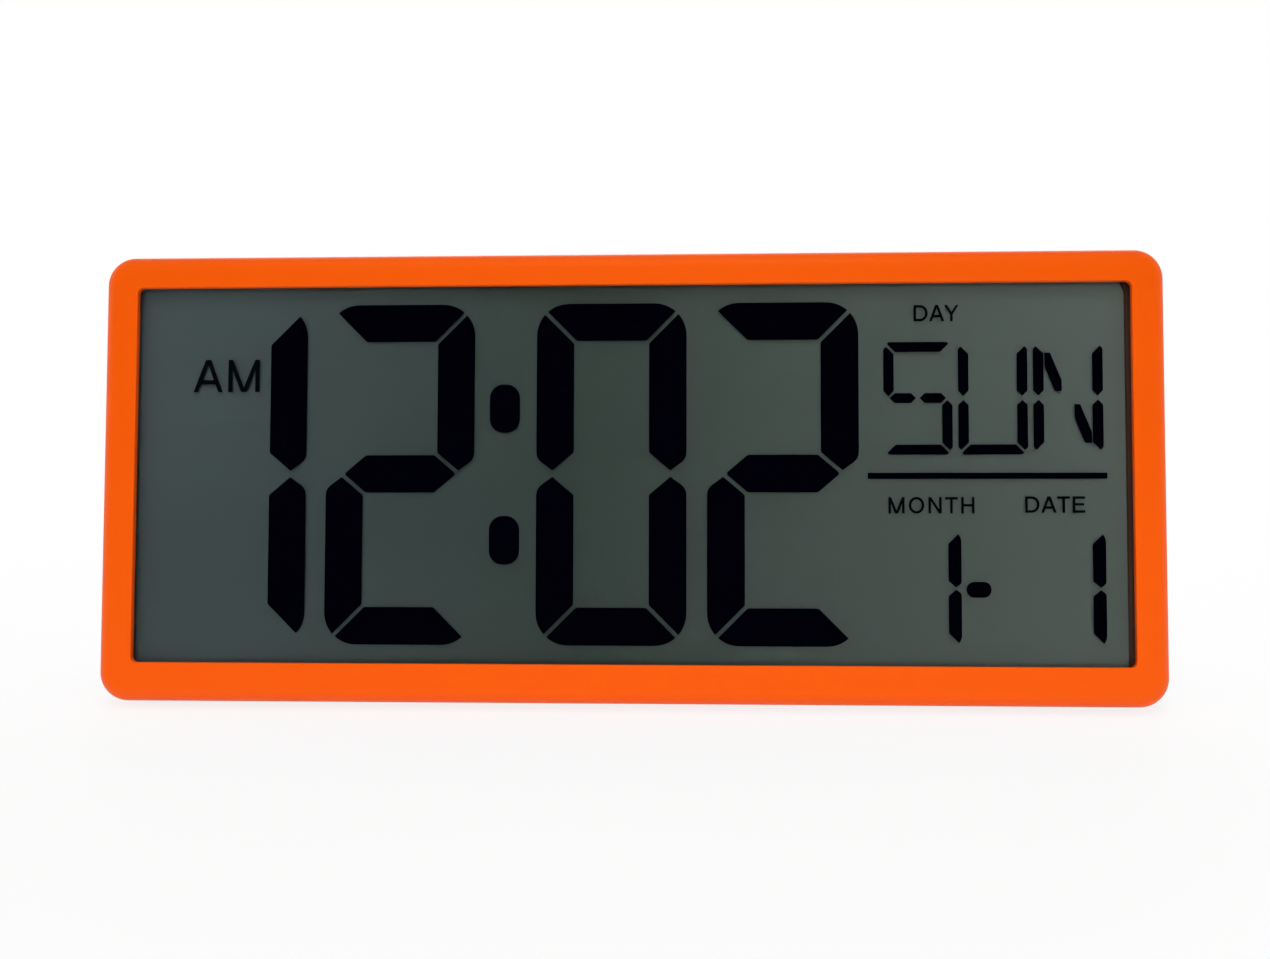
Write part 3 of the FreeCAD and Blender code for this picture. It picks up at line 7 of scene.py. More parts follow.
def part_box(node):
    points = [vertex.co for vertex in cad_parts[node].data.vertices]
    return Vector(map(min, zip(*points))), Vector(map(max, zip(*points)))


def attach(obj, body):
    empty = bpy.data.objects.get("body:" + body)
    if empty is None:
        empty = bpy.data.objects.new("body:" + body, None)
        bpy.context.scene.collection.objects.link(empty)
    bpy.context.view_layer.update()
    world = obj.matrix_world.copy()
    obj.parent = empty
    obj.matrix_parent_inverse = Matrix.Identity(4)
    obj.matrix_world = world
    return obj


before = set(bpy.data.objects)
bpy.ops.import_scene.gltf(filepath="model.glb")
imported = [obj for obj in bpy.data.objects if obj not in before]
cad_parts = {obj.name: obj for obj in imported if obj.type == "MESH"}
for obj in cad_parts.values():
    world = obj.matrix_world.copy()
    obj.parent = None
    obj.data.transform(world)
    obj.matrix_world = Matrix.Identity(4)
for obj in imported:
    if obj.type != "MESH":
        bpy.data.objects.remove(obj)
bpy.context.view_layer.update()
scene = bpy.context.scene
scene.view_settings.view_transform = "Standard"


# ---------------------------------------------------------------- camera
# A camera on a low stand, a little over half a metre in front of the clock and slightly to the right
# of its middle. It looks down at the display by some nine degrees.

eye = Vector((0.0364, -0.5748, 0.1633))
turned_left, tipped_down, rolled = radians(3.351), radians(8.587), radians(-0.545)
sensor_width, focal_length = 36, 46.915
nearest, farthest = 0.01, 50
camera_data = bpy.data.cameras.new("camera")
camera_data.sensor_width = sensor_width
camera_data.lens = focal_length
camera_data.clip_start, camera_data.clip_end = nearest, farthest
camera = bpy.data.objects.new("camera", camera_data)
scene.collection.objects.link(camera)
camera.matrix_world = (Matrix.Translation(eye) @ Matrix.Rotation(turned_left, 4, "Z")
                       @ Matrix.Rotation(radians(90) - tipped_down, 4, "X")
                       @ Matrix.Rotation(rolled, 4, "Z"))
scene.camera = camera


# ---------------------------------------------------------------- light tent
# The clock stands in a white fabric tent. Its front is open, so what faces the camera squarely
# mirrors a dim room, and what turns aside mirrors white fabric. The lamps stand outside, and the
# fabric keeps most of them out of the clock's gloss.

def add(tree, kind, inputs=None, **settings):
    """Adds a node, with its settings, and its sockets set to a value or linked to another socket."""
    node = tree.nodes.new("ShaderNode" + kind)
    for name, value in settings.items():
        setattr(node, name, value)
    for name, value in (inputs or {}).items():
        if isinstance(value, bpy.types.NodeSocket):
            tree.links.new(value, node.inputs[name])
        else:
            node.inputs[name].default_value = value
    return node


def light_tent():
    """The fabric, and the dim room beyond its opening, with a soft change between the two."""
    opening = Vector((-0.10, -1, 0.22)).normalized()
    opening_middle, opening_edge = radians(3), radians(40)
    fabric_mirrored, room_mirrored = 0.8, 0.10
    share_on_matt = 0.10
    world = bpy.data.worlds.new("light tent")
    world.use_nodes = True
    tree = world.node_tree
    tree.nodes.clear()
    rays = add(tree, "LightPath").outputs
    heading = add(tree, "TexCoord").outputs["Generated"]
    towards = add(tree, "VectorMath", {0: heading, 1: opening}, operation="DOT_PRODUCT").outputs["Value"]
    glow = add(tree, "MapRange", {
        "Value": towards, "From Min": cos(opening_edge), "From Max": cos(opening_middle),
        "To Min": fabric_mirrored, "To Max": room_mirrored}).outputs["Result"]
    dimmed = add(tree, "Math", {0: glow, 1: share_on_matt}, operation="MULTIPLY").outputs[0]
    mirrored = add(tree, "Mix", {"Factor": rays["Is Glossy Ray"], "A": dimmed, "B": glow}).outputs[0]
    # Looked at directly or through glass, the tent is plain white.
    seen = add(tree, "Math", {0: rays["Is Camera Ray"], 1: rays["Is Transmission Ray"]},
               operation="MAXIMUM").outputs[0]
    strength = add(tree, "Mix", {"Factor": seen, "A": mirrored, "B": 1.0}).outputs[0]
    background = add(tree, "Background", {"Color": (1, 1, 1, 1), "Strength": strength})
    add(tree, "OutputWorld", {"Surface": background.outputs[0]})
    scene.world = world


def soft_lamp(name, place, aim, size, watts, beam=180, mirrored=True):
    """A flat soft lamp, in metres, watts and degrees. A grid on its front can narrow the beam."""
    data = bpy.data.lights.new(name, "AREA")
    data.shape = "RECTANGLE"
    data.size, data.size_y = size
    data.energy = watts
    data.spread = radians(beam)
    lamp = bpy.data.objects.new(name, data)
    lamp.location = place
    lamp.rotation_euler = (Vector(aim) - Vector(place)).to_track_quat("-Z", "Y").to_euler()
    lamp.visible_camera = False
    lamp.visible_glossy = mirrored
    scene.collection.objects.link(lamp)


light_tent()
under_clock, clock_foot, clock_low, clock_middle = (0, 0, -0.12), (0, 0, 0), (0, 0, 0.05), (0, 0, 0.08)
soft_lamp("lamp_key", (0.0, -3.0, 1.00), under_clock, size=(0.9, 0.3), watts=1.3, beam=30,
          mirrored=False)
soft_lamp("lamp_overhead", (0.0, -0.75, 1.10), clock_low, size=(0.3, 0.7), watts=5.4, mirrored=False)
soft_lamp("lamp_top", (0.0, 0.0, 1.30), clock_low, size=(0.5, 0.3), watts=2.6, mirrored=False)
soft_lamp("lamp_left", (-0.95, 0.20, 0.40), clock_middle, size=(0.6, 0.5), watts=2.5, mirrored=False)
soft_lamp("lamp_right", (0.95, 0.20, 0.40), clock_middle, size=(0.6, 0.5), watts=2.5, mirrored=False)
soft_lamp("lamp_behind", (0.0, 1.10, 0.60), clock_middle, size=(1.2, 0.6), watts=6.0)
soft_lamp("lamp_low_front", (0.02, -0.32, 0.02), clock_foot, size=(0.6, 0.06), watts=0.14)


# ---------------------------------------------------------------- table
# A white laminate table top, even and dull. Close round the clock it keeps a share of the clock's
# soft shadow, and further out it fades into the white tent.

def new_finish(name):
    """A new material with an empty surface shader."""
    material = bpy.data.materials.new(name)
    material.use_nodes = True
    tree = material.node_tree
    tree.nodes.clear()
    shader = add(tree, "BsdfPrincipled")
    add(tree, "OutputMaterial", {"Surface": shader.outputs[0]})
    return material, tree, shader


def colour(code):
    """The linear colour of an sRGB hex code."""
    values = [int(code[i:i + 2], 16) / 255 for i in (1, 3, 5)]
    return (*((v / 12.92 if v <= 0.04045 else ((v + 0.055) / 1.055) ** 2.4) for v in values), 1)


def white_laminate():
    shadow_reach, shadow_end, shadow_share = 0.18, 0.50, 0.18
    material, tree, shader = new_finish("white laminate")
    shader.inputs["Base Color"].default_value = colour("#FCFCFB")
    shader.inputs["Roughness"].default_value = 0.6
    place = add(tree, "TexCoord").outputs["Object"]
    distance = add(tree, "VectorMath", {0: place}, operation="LENGTH").outputs["Value"]
    whiteness = add(tree, "MapRange", {
        "Value": distance, "From Min": shadow_reach, "From Max": shadow_end,
        "To Min": 1 - shadow_share, "To Max": 1.0}, interpolation_type="SMOOTHSTEP").outputs["Result"]
    rays = add(tree, "LightPath").outputs
    seen = add(tree, "Math", {0: rays["Is Camera Ray"], 1: rays["Is Glossy Ray"]},
               operation="MAXIMUM").outputs[0]
    seen = add(tree, "Math", {0: seen, 1: rays["Is Transmission Ray"]}, operation="MAXIMUM").outputs[0]
    share = add(tree, "Math", {0: whiteness, 1: seen}, operation="MULTIPLY").outputs[0]
    glow = add(tree, "Emission", {"Color": (1, 1, 1, 1), "Strength": 1.0})
    blend = add(tree, "MixShader", {0: share, 1: shader.outputs[0], 2: glow.outputs[0]})
    output = next(node for node in tree.nodes if node.type == "OUTPUT_MATERIAL")
    tree.links.new(blend.outputs[0], output.inputs["Surface"])
    return material


table_radius = 12
bpy.ops.object.select_all(action="DESELECT")
bpy.ops.mesh.primitive_circle_add(vertices=64, radius=table_radius, fill_type="NGON")
table = bpy.context.object
table.name = "table"
table.data.materials.append(white_laminate())


# ---------------------------------------------------------------- front bezel
# One moulding of orange ABS, coloured through: a flat frame with a soft outer edge round the window,
# and the front half of the case wall behind it. The steel mould was finely stoned, so it is satin,
# and its soft gloss takes on some of the plastic's colour.

mm = 0.001


def finish_node(name, material):
    """Gives a CAD node its material, in place of the plain one that it was packed with."""
    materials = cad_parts[name].data.materials
    materials.clear()
    materials.append(material)


def moulded_plastic(name, body, deep, rough, grain, gloss_tint="#FFFFFF"):
    """Two close tones in soft clouds, where the melt met, and an even grain of a size and depth in mm.

    A noise of scale 1 / s changes over about s, and most of its values lie from 0.3 to 0.7.
    """
    cloud_size = 18
    noise_low, noise_high = 0.3, 0.7
    grain_size, grain_depth = grain
    material, tree, shader = new_finish(name)
    place = add(tree, "TexCoord").outputs["Object"]
    clouds = add(tree, "TexNoise", {"Vector": place, "Scale": 1 / (cloud_size * mm), "Detail": 2.0})
    tone = add(tree, "Mix", {"Factor": clouds.outputs["Fac"], "A": colour(body), "B": colour(deep)},
               data_type="RGBA")
    grains = add(tree, "TexNoise", {"Vector": place, "Scale": 1 / (grain_size * mm), "Detail": 2.0})
    bump = add(tree, "Bump", {"Height": grains.outputs["Fac"], "Distance": grain_depth * mm})
    roughness = add(tree, "MapRange", {"Value": grains.outputs["Fac"], "From Min": noise_low,
                                       "From Max": noise_high, "To Min": rough[0], "To Max": rough[1]})
    tree.links.new(tone.outputs["Result"], shader.inputs["Base Color"])
    tree.links.new(roughness.outputs["Result"], shader.inputs["Roughness"])
    tree.links.new(bump.outputs["Normal"], shader.inputs["Normal"])
    shader.inputs["IOR"].default_value = 1.54
    shader.inputs["Specular Tint"].default_value = colour(gloss_tint)
    return material


finish_node("front_bezel", moulded_plastic("orange ABS, satin moulded", "#F65A00", "#F45700",
                                           rough=(0.42, 0.52), grain=(0.5, 0.006), gloss_tint="#FFC48C"))


# ---------------------------------------------------------------- display glass
# Two sheets of clear float glass, sealed round their edge with smooth dark epoxy, with the liquid
# crystal between them. A matt polarizing film is laid on the front, and a pearly grey-green mirror
# film on the back, whose tone is varied by painted light and shade. The sheets rest on a foam
# gasket, whose dull red-brown is a painted reflection of the orange wall.

def clear_sheet(name, tint, alpha, roughness, gloss):
    """A sheet that is looked through: its own tint is thin, and its surface may be matt or bright."""
    haze_size, unevenness = 0.4, 0.15
    material, tree, shader = new_finish(name)
    place = add(tree, "TexCoord").outputs["Object"]
    haze = add(tree, "TexNoise", {"Vector": place, "Scale": 1 / (haze_size * mm), "Detail": 1.0})
    rough = add(tree, "MapRange", {"Value": haze.outputs["Fac"], "To Min": roughness * (1 - unevenness),
                                   "To Max": roughness * (1 + unevenness)})
    tree.links.new(rough.outputs["Result"], shader.inputs["Roughness"])
    shader.inputs["Base Color"].default_value = colour(tint)
    shader.inputs["Alpha"].default_value = alpha
    shader.inputs["Specular IOR Level"].default_value = gloss
    return material


def mirror_film():
    """A pearly aluminium layer, tinted grey-green; painted light and shade vary its tone across and
    down.
    """
    left_end, right_end, painted_dark_at = -0.17, 0.17, 0.45
    film_top, film_bottom, painted_shade_share = 0.145, 0.015, 0.36
    material, tree, shader = new_finish("transflective film")
    place = add(tree, "TexCoord").outputs["Object"]
    axes = add(tree, "SeparateXYZ", {0: place}).outputs
    # Painted light: the tone is lightest at the right and darkest left of the middle.
    along = add(tree, "MapRange", {"Value": axes["X"], "From Min": left_end, "From Max": right_end})
    tint_and_painted_light = add(tree, "ValToRGB", {"Fac": along.outputs["Result"]})
    tint_and_painted_light.color_ramp.elements[0].color = colour("#7D9093")
    tint_and_painted_light.color_ramp.elements[1].color = colour("#93A39B")
    painted_dark_stop = tint_and_painted_light.color_ramp.elements.new(painted_dark_at)
    painted_dark_stop.color = colour("#5F7169")
    # Painted shade: the film grows darker towards the bottom.
    painted_shade_below = add(tree, "MapRange", {"Value": axes["Z"], "From Min": film_top, "From Max": film_bottom,
                                     "To Min": 0.0, "To Max": painted_shade_share})
    tone = add(tree, "Mix", {"Factor": painted_shade_below.outputs["Result"], "A": tint_and_painted_light.outputs["Color"],
                             "B": colour("#2C3834")}, data_type="RGBA")
    tree.links.new(tone.outputs["Result"], shader.inputs["Base Color"])
    shader.inputs["Metallic"].default_value = 0.5
    shader.inputs["Roughness"].default_value = 0.35
    return material


# Light crosses six faces of film and glass on its way in and six on its way out.
scene.cycles.transparent_max_bounces = 24
finish_node("lcd_front_polarizer",
            clear_sheet("anti-glare polarizing film", "#020203", alpha=0.15, roughness=0.45, gloss=0.03))
for side in ("front", "rear"):
    finish_node(f"lcd_{side}_glass",
                clear_sheet(f"float glass, {side}", "#1A211E", alpha=0.03, roughness=0.05, gloss=0.3))
finish_node("lcd_reflector", mirror_film())
finish_node("lcd_edge_seal",
            moulded_plastic("edge epoxy", "#3A3D38", "#33362F", rough=(0.25, 0.35), grain=(1.2, 0.01)))
# Painted reflection: the gasket's red-brown stands in for the orange wall mirrored at the display's
# edge.
finish_node("lcd_gasket", moulded_plastic("closed-cell foam", "#6A2A12", "#5E2410",
                                          rough=(0.8, 0.95), grain=(0.6, 0.08)))


# ---------------------------------------------------------------- segments
# Where the liquid crystal is switched on, it turns black with a trace of navy. The time, the colon,
# the calendar's figures and the bar between them are such areas, as thin as the crystal layer.

def dark_crystal(name, shade, other_shade, drift_size):
    """Nearly one tone, drifting over some millimetres, without gloss because it lies in the glass."""
    material, tree, shader = new_finish(name)
    place = add(tree, "TexCoord").outputs["Object"]
    drift = add(tree, "TexNoise", {"Vector": place, "Scale": 1 / (drift_size * mm), "Detail": 1.0})
    tone = add(tree, "Mix", {"Factor": drift.outputs["Fac"], "A": colour(shade),
                             "B": colour(other_shade)}, data_type="RGBA")
    tree.links.new(tone.outputs["Result"], shader.inputs["Base Color"])
    shader.inputs["Roughness"].default_value = 0.9
    shader.inputs["Specular IOR Level"].default_value = 0.0
    return material


crystal = dark_crystal("darkened liquid crystal", "#00000B", "#00000E", drift_size=40)
for node in ("time_digits", "colon_dots", "calendar_digits", "divider_bar"):
    finish_node(node, crystal)


# ---------------------------------------------------------------- day characters
# Three fourteen-segment characters in the same crystal layer spell the day. A segment is a straight
# bar that ends in a right-angled point, and the diagonals are slanting bars with clipped ends.

# The display's own frame: its origin in the middle of the divider bar, X right, Y rearward, Z up.
lean = Matrix.Rotation(radians(-12), 4, "X")
divider_low, divider_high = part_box("divider_bar")
display = Matrix.Translation((divider_low + divider_high) / 2) @ lean
crystal_thick = 0.15


def cut_back(cuts, nearness=0.1 * mm):
    """Cuts the piece in edit mode at each (x, z, degrees), on the side that the angle faces.

    A point that lies within the nearness counts as on the cut.
    """
    for x, z, facing in cuts:
        bpy.ops.mesh.select_all(action="SELECT")
        bpy.ops.mesh.bisect(plane_co=(x * mm, 0, z * mm), clear_outer=True, use_fill=True,
                            plane_no=(cos(radians(facing)), 0, sin(radians(facing))), threshold=nearness)


def point(x, z, heading):
    """The two cuts that bring a bar to a right-angled point there."""
    return [(x, z, heading - 45), (x, z, heading + 45)]


def bar(left, low, right, high, cuts=()):
    """An upright bar as thick as the crystal layer, in millimetres, and cut back."""
    bpy.ops.object.select_all(action="DESELECT")
    bpy.ops.mesh.primitive_cube_add(size=1, location=((left + right) / 2 * mm, 0, (low + high) / 2 * mm),
                                    scale=((right - left) * mm, crystal_thick * mm, (high - low) * mm))
    bpy.ops.object.transform_apply(location=True, rotation=True, scale=True)
    bpy.ops.object.mode_set(mode="EDIT")
    cut_back(cuts)
    bpy.ops.object.mode_set(mode="OBJECT")
    return bpy.context.object


def character(left, top, lit):
    """The lit bars of one character, by the letters that a display maker gives its segments."""
    width, height, centre_rise = 23.55, 38.9, 0.05
    stroke, level_stroke = 3.55, 3.43
    tip_in, tip_down = 1.25, 0.6
    apex_in, apex_down = 0.95, 1.6
    waist, half_gap = 1.75, 0.72
    short_starts, short_length, short_rise = {"g1": 2.15, "g2": 12.4}, 8.95, 1.7
    diagonal_heads, slant = {"h": (3.9, 3.9), "k": (13.9, 21.7)}, 22
    diagonal_width, diagonal_fall, head_in, foot_in = 5.75, 13.25, 1.9, 3.45
    right, low, centre = left + width, top - height, top - height / 2 + centre_rise
    bars = []
    for segment in lit.split():
        if segment in ("a", "d"):
            edge, side = (top, -1) if segment == "a" else (low, 1)
            tip = edge + side * tip_down
            span = sorted((edge, edge + side * level_stroke))
            cuts = point(left + tip_in, tip, 180) + point(right - tip_in, tip, 0)
            bars.append(bar(left + tip_in, span[0], right - tip_in, span[1], cuts))
        elif segment in short_starts:
            start = left + short_starts[segment]
            end = start + short_length
            cuts = point(start, centre, 180) + point(end, centre, 0)
            bars.append(bar(start, centre - short_rise, end, centre + short_rise, cuts))
        elif segment in diagonal_heads:
            across, down = diagonal_heads[segment]
            start, head = left + across, top - down
            foot = head - diagonal_fall
            cuts = [(start + head_in, head, slant), (start + foot_in, foot, slant + 180)]
            bars.append(bar(start, foot, start + diagonal_width, head, cuts))
        else:
            outer, side = (left, 1) if segment in "fe" else (right, -1)
            up = 1 if segment in "fb" else -1
            far = (top if up > 0 else low) - up * apex_down
            near = centre + up * half_gap
            cuts = (point(outer + side * apex_in, far, 90 * up)
                    + point(outer + side * waist, near, -90 * up))
            span = sorted((outer, outer + side * stroke))
            bars.append(bar(span[0], min(far, near), span[1], max(far, near), cuts))
    return bars


def join(name, pieces):
    """Makes several pieces one, under a name."""
    bpy.ops.object.select_all(action="DESELECT")
    for piece in pieces:
        piece.select_set(True)
    bpy.context.view_layer.objects.active = pieces[0]
    bpy.ops.object.join()
    pieces[0].name = name
    return pieces[0]


day_left, day_top, day_pitch = -35.05, 46.2, 25.5
bars = []
for place, lit in enumerate(("a f g1 g2 c d", "f e d c b", "f e h k b c")):
    bars += character(day_left + place * day_pitch, day_top, lit)
day_word = join("day_characters", bars)
day_word.data.transform(display)
day_word.data.materials.append(crystal)
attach(day_word, "case")


# ---------------------------------------------------------------- display words
# The fixed words of the display are etched into the same layer, in thinner strokes that look a little
# paler. They are plain capitals, drawn with bars and cut ovals.

def slanted(x_low, x_high, low, high, width, cuts=()):
    """A slanting stroke. Its left edge runs from x_low at the bottom to x_high at the top."""
    facing = degrees(atan2(x_low - x_high, high - low))
    sides = [(x_low, low, facing + 180), (x_low + width, low, facing)]
    return bar(min(x_low, x_high), low, max(x_low, x_high) + width, high, sides + list(cuts))


def ring(across, up, reach, rise, stroke, cuts=()):
    """An oval stroke round a middle, cut back like a bar."""
    bpy.ops.object.select_all(action="DESELECT")
    bpy.ops.mesh.primitive_circle_add(vertices=48, radius=1, rotation=(radians(90), 0, 0))
    bpy.context.object.scale = (reach * mm, rise * mm, 1)
    bpy.ops.object.transform_apply(location=True, rotation=True, scale=True)
    bpy.ops.object.mode_set(mode="EDIT")
    bpy.ops.mesh.select_all(action="SELECT")
    bpy.ops.mesh.extrude_edges_move()
    bpy.ops.transform.resize(value=(1 - stroke / reach, 1, 1 - stroke / rise), center_override=(0, 0, 0))
    bpy.ops.mesh.select_all(action="SELECT")
    bpy.ops.mesh.extrude_region_move(TRANSFORM_OT_translate={"value": (0, crystal_thick * mm, 0)})
    bpy.ops.mesh.select_all(action="SELECT")
    bpy.ops.transform.translate(value=(across * mm, -crystal_thick / 2 * mm, up * mm))
    bpy.ops.mesh.normals_make_consistent()
    # An oval's points lie close together, so only those right on a cut may count as on it.
    cut_back(cuts, nearness=0.001 * mm)
    bpy.ops.object.mode_set(mode="OBJECT")
    return bpy.context.object


def letter(shape, left, low, right, high, stroke):
    """The strokes of a plain capital that fills a box. They meet edge to edge."""
    middle, centre, tall = (left + right) / 2, (low + high) / 2, high - low
    leg = stroke * 1.08
    stems = [(left, low, left + stroke, high), (right - stroke, low, right, high)]
    if shape == "A":
        apex = stroke * 0.62
        steep = degrees(atan2(left - middle + apex, tall))
        legs = [slanted(left, middle - apex, low, high, leg, [(middle, low, 0)]),
                slanted(right - leg, middle + apex - leg, low, high, leg, [(middle, low, 180)])]
        rung = low + tall * 0.24
        ends = [(left + leg, low, steep + 180), (right - leg, low, -steep)]
        return legs + [bar(left, rung, right, rung + stroke, ends)]
    if shape == "M":
        vertex = leg * 0.6
        return [bar(*stem) for stem in stems] + [
            slanted(middle - vertex, left, low, high, leg,
                    [(left + stroke, low, 180), (middle, low, 0)]),
            slanted(middle + vertex - leg, right - leg, low, high, leg,
                    [(middle, low, 180), (right - stroke, low, 0)])]
    if shape == "N":
        ends = [(left + stroke, low, 180), (right - stroke, low, 0)]
        return [bar(*stem) for stem in stems] + [slanted(right - leg, left, low, high, leg, ends)]
    if shape == "Y":
        fork = low + tall * 0.42
        return [bar(middle - stroke / 2, low, middle + stroke / 2, fork),
                slanted(middle - stroke / 2, left, fork, high, leg, [(middle, low, 0)]),
                slanted(middle + stroke / 2 - leg, right - leg, fork, high, leg, [(middle, low, 180)])]
    if shape == "T":
        return [bar(left, high - stroke, right, high),
                bar(middle - stroke / 2, low, middle + stroke / 2, high - stroke)]
    if shape == "H":
        rung = (left + stroke, centre - stroke / 2, right - stroke, centre + stroke / 2)
        return [bar(*part) for part in stems + [rung]]
    if shape == "E":
        drop = stroke * 0.4
        arms = [(low, right), (centre - drop, right - drop), (high - stroke, right)]
        return [bar(*stems[0])] + [bar(left + stroke, z, end, z + stroke) for z, end in arms]
    if shape == "D":
        bend = right - (right - left) * 0.55
        return [bar(*stems[0]), bar(left + stroke, high - stroke, bend, high),
                bar(left + stroke, low, bend, low + stroke),
                ring(bend, centre, right - bend, tall / 2, stroke, [(bend, centre, 180)])]
    if shape == "S":
        reach, rise = (right - left) / 2, (tall + stroke) / 4
        upper, lower = high - rise, low + rise
        bowls = [(upper, [(middle, upper, -90)]), (upper, [(middle, upper, 90), (middle, upper, 0)]),
                 (lower, [(middle, lower, 90)]), (lower, [(middle, lower, -90), (middle, lower, 180)])]
        return [ring(middle, z, reach, rise, stroke, cuts) for z, cuts in bowls]
    overshoot = 1.02
    return [ring(middle, centre, (right - left) / 2, tall / 2 * overshoot, stroke)]


def word(name, text, left, low, right, high, stroke):
    """A word that fills a box. What its letters leave over is shared out as spacing."""
    widths = {"A": 0.92, "D": 0.86, "E": 0.75, "H": 0.80, "M": 0.98, "N": 0.80, "O": 0.94, "S": 0.76,
              "T": 0.76, "Y": 0.88}
    bearings, plain_bearing = {"A": 0.0, "D": 0.09, "O": 0.07, "T": 0.03, "Y": 0.0}, 0.11
    tall = high - low
    inked = sum(widths[shape] for shape in text) * tall
    bearing = [(bearings.get(a, plain_bearing) + bearings.get(b, plain_bearing)) * tall
               for a, b in zip(text, text[1:])]
    spacing = (right - left - inked - sum(bearing)) / len(bearing)
    strokes, x = [], left
    for place, shape in enumerate(text):
        strokes += letter(shape, x, low, x + widths[shape] * tall, high, stroke)
        x += widths[shape] * tall + (bearing + [0])[place] + spacing
    return join(name, strokes)


etched = dark_crystal("etched words", "#060C11", "#0A1116", drift_size=3)
for name, text, left, low, right, high, stroke in (
        ("word_am", "AM", -276.8, 29.8, -253.2, 41.2, 1.5),
        ("word_day", "DAY", -24.55, 53.4, -9.15, 59.0, 0.85),
        ("word_month", "MONTH", -33.55, -12.9, -4.35, -7.3, 0.85),
        ("word_date", "DATE", 12.8, -12.65, 33.0, -7.05, 0.85)):
    letters = word(name, text, left, low, right, high, stroke)
    letters.data.transform(display)
    letters.data.materials.append(etched)
    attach(letters, "case")


# ---------------------------------------------------------------- retainer and board
# A dark ABS frame is screwed to the bezel behind the display and clamps it. Its red-brown is painted
# shade. The circuit board hangs below it, with the controller under a glossy epoxy blob, the clock
# crystal's can and four switches of dull black nylon. Rubber strips connect it to the glass.

# A wave texture of scale 1 repeats after this many metres.
wave_repeat = pi / 10


def solder_mask():
    """Glossy green lacquer. The copper tracks below it show as paler, slightly raised bands."""
    track_pitch, track_height, wandering = 5.011, 0.035, 1.5
    track_side, track_top = 0.62, 0.68
    material, tree, shader = new_finish("green solder mask")
    place = add(tree, "TexCoord").outputs["Object"]
    tracks = add(tree, "TexWave", {"Vector": place, "Scale": wave_repeat / (track_pitch * mm),
                                   "Distortion": wandering, "Detail": 0.0}, bands_direction="X")
    edge = add(tree, "MapRange", {"Value": tracks.outputs["Fac"], "From Min": track_side,
                                  "From Max": track_top})
    tone = add(tree, "Mix", {"Factor": edge.outputs["Result"], "A": colour("#0F4A2A"),
                             "B": colour("#1B6A3C")}, data_type="RGBA")
    bump = add(tree, "Bump", {"Height": edge.outputs["Result"], "Distance": track_height * mm})
    tree.links.new(tone.outputs["Result"], shader.inputs["Base Color"])
    tree.links.new(bump.outputs["Normal"], shader.inputs["Normal"])
    shader.inputs["Roughness"].default_value = 0.3
    return material


def zebra_strip():
    """Dull silicone rubber with layers of carbon every 0.18 mm.

    They are drawn nearly 1 mm apart, because finer ones don't show.
    """
    layer_pitch, carbon_side, carbon_face = 0.9865, 0.45, 0.55
    material, tree, shader = new_finish("zebra rubber")
    place = add(tree, "TexCoord").outputs["Object"]
    layers = add(tree, "TexWave", {"Vector": place, "Scale": wave_repeat / (layer_pitch * mm)},
                 bands_direction="X")
    edge = add(tree, "MapRange", {"Value": layers.outputs["Fac"], "From Min": carbon_side,
                                  "From Max": carbon_face})
    tone = add(tree, "Mix", {"Factor": edge.outputs["Result"], "A": colour("#C9BBA8"),
                             "B": colour("#101010")}, data_type="RGBA")
    tree.links.new(tone.outputs["Result"], shader.inputs["Base Color"])
    shader.inputs["Roughness"].default_value = 0.7
    return material


# Painted shade: the retainer's red-brown stands in for orange plastic in shade, seen through bare glass.
finish_node("lcd_retainer", moulded_plastic("ABS with painted shade, retainer", "#42281C", "#3B2318",
                                            rough=(0.45, 0.6), grain=(0.5, 0.02)))
finish_node("main_board", solder_mask())
finish_node("controller_chip",
            moulded_plastic("epoxy blob", "#0B0B0C", "#101011", rough=(0.25, 0.4), grain=(2.0, 0.05)))
finish_node("tact_switches", moulded_plastic("black nylon, switches", "#131313", "#191919",
                                             rough=(0.5, 0.6), grain=(0.4, 0.01)))
finish_node("zebra_connectors", zebra_strip())


# ---------------------------------------------------------------- metal pieces
# Screws are zinc plated steel, the hinge pin is drawn steel, the crystal's can and the battery
# springs are nickel plated, and the buzzer is a brass disc.

def metal(name, bright, dull, rough, scratch_width):
    """A plated or rolled metal: two tones and a fine roughness, in streaks along X."""
    stretch = 6
    material, tree, shader = new_finish(name)
    place = add(tree, "TexCoord").outputs["Object"]
    streaked = add(tree, "Mapping", {"Vector": place, "Scale": (1, stretch, stretch)}).outputs["Vector"]
    streaks = add(tree, "TexNoise", {"Vector": streaked, "Scale": 1 / (scratch_width * mm) / stretch,
                                     "Detail": 4.0})
    tone = add(tree, "Mix", {"Factor": streaks.outputs["Fac"], "A": colour(bright), "B": colour(dull)},
               data_type="RGBA")
    roughness = add(tree, "MapRange", {"Value": streaks.outputs["Fac"], "To Min": rough[0],
                                       "To Max": rough[1]})
    tree.links.new(tone.outputs["Result"], shader.inputs["Base Color"])
    tree.links.new(roughness.outputs["Result"], shader.inputs["Roughness"])
    shader.inputs["Metallic"].default_value = 1.0
    return material


zinc = metal("zinc plated steel", "#B9BBBD", "#8C8E90", rough=(0.25, 0.45), scratch_width=0.3)
for node in ("case_screws", "retainer_screws", "board_screws"):
    finish_node(node, zinc)
finish_node("stand_hinge_pin",
            metal("drawn steel", "#C4C5C6", "#9FA1A3", rough=(0.2, 0.35), scratch_width=0.2))
nickel = metal("nickel plate", "#D8D4CC", "#B5B1A8", rough=(0.12, 0.3), scratch_width=0.3)
for node in ("quartz_crystal", "battery_contact_positive", "battery_contact_negative",
             "battery_contact_bridge"):
    finish_node(node, nickel)
finish_node("piezo_buzzer", metal("brass", "#D9B45C", "#B8923F", rough=(0.25, 0.4), scratch_width=0.4))


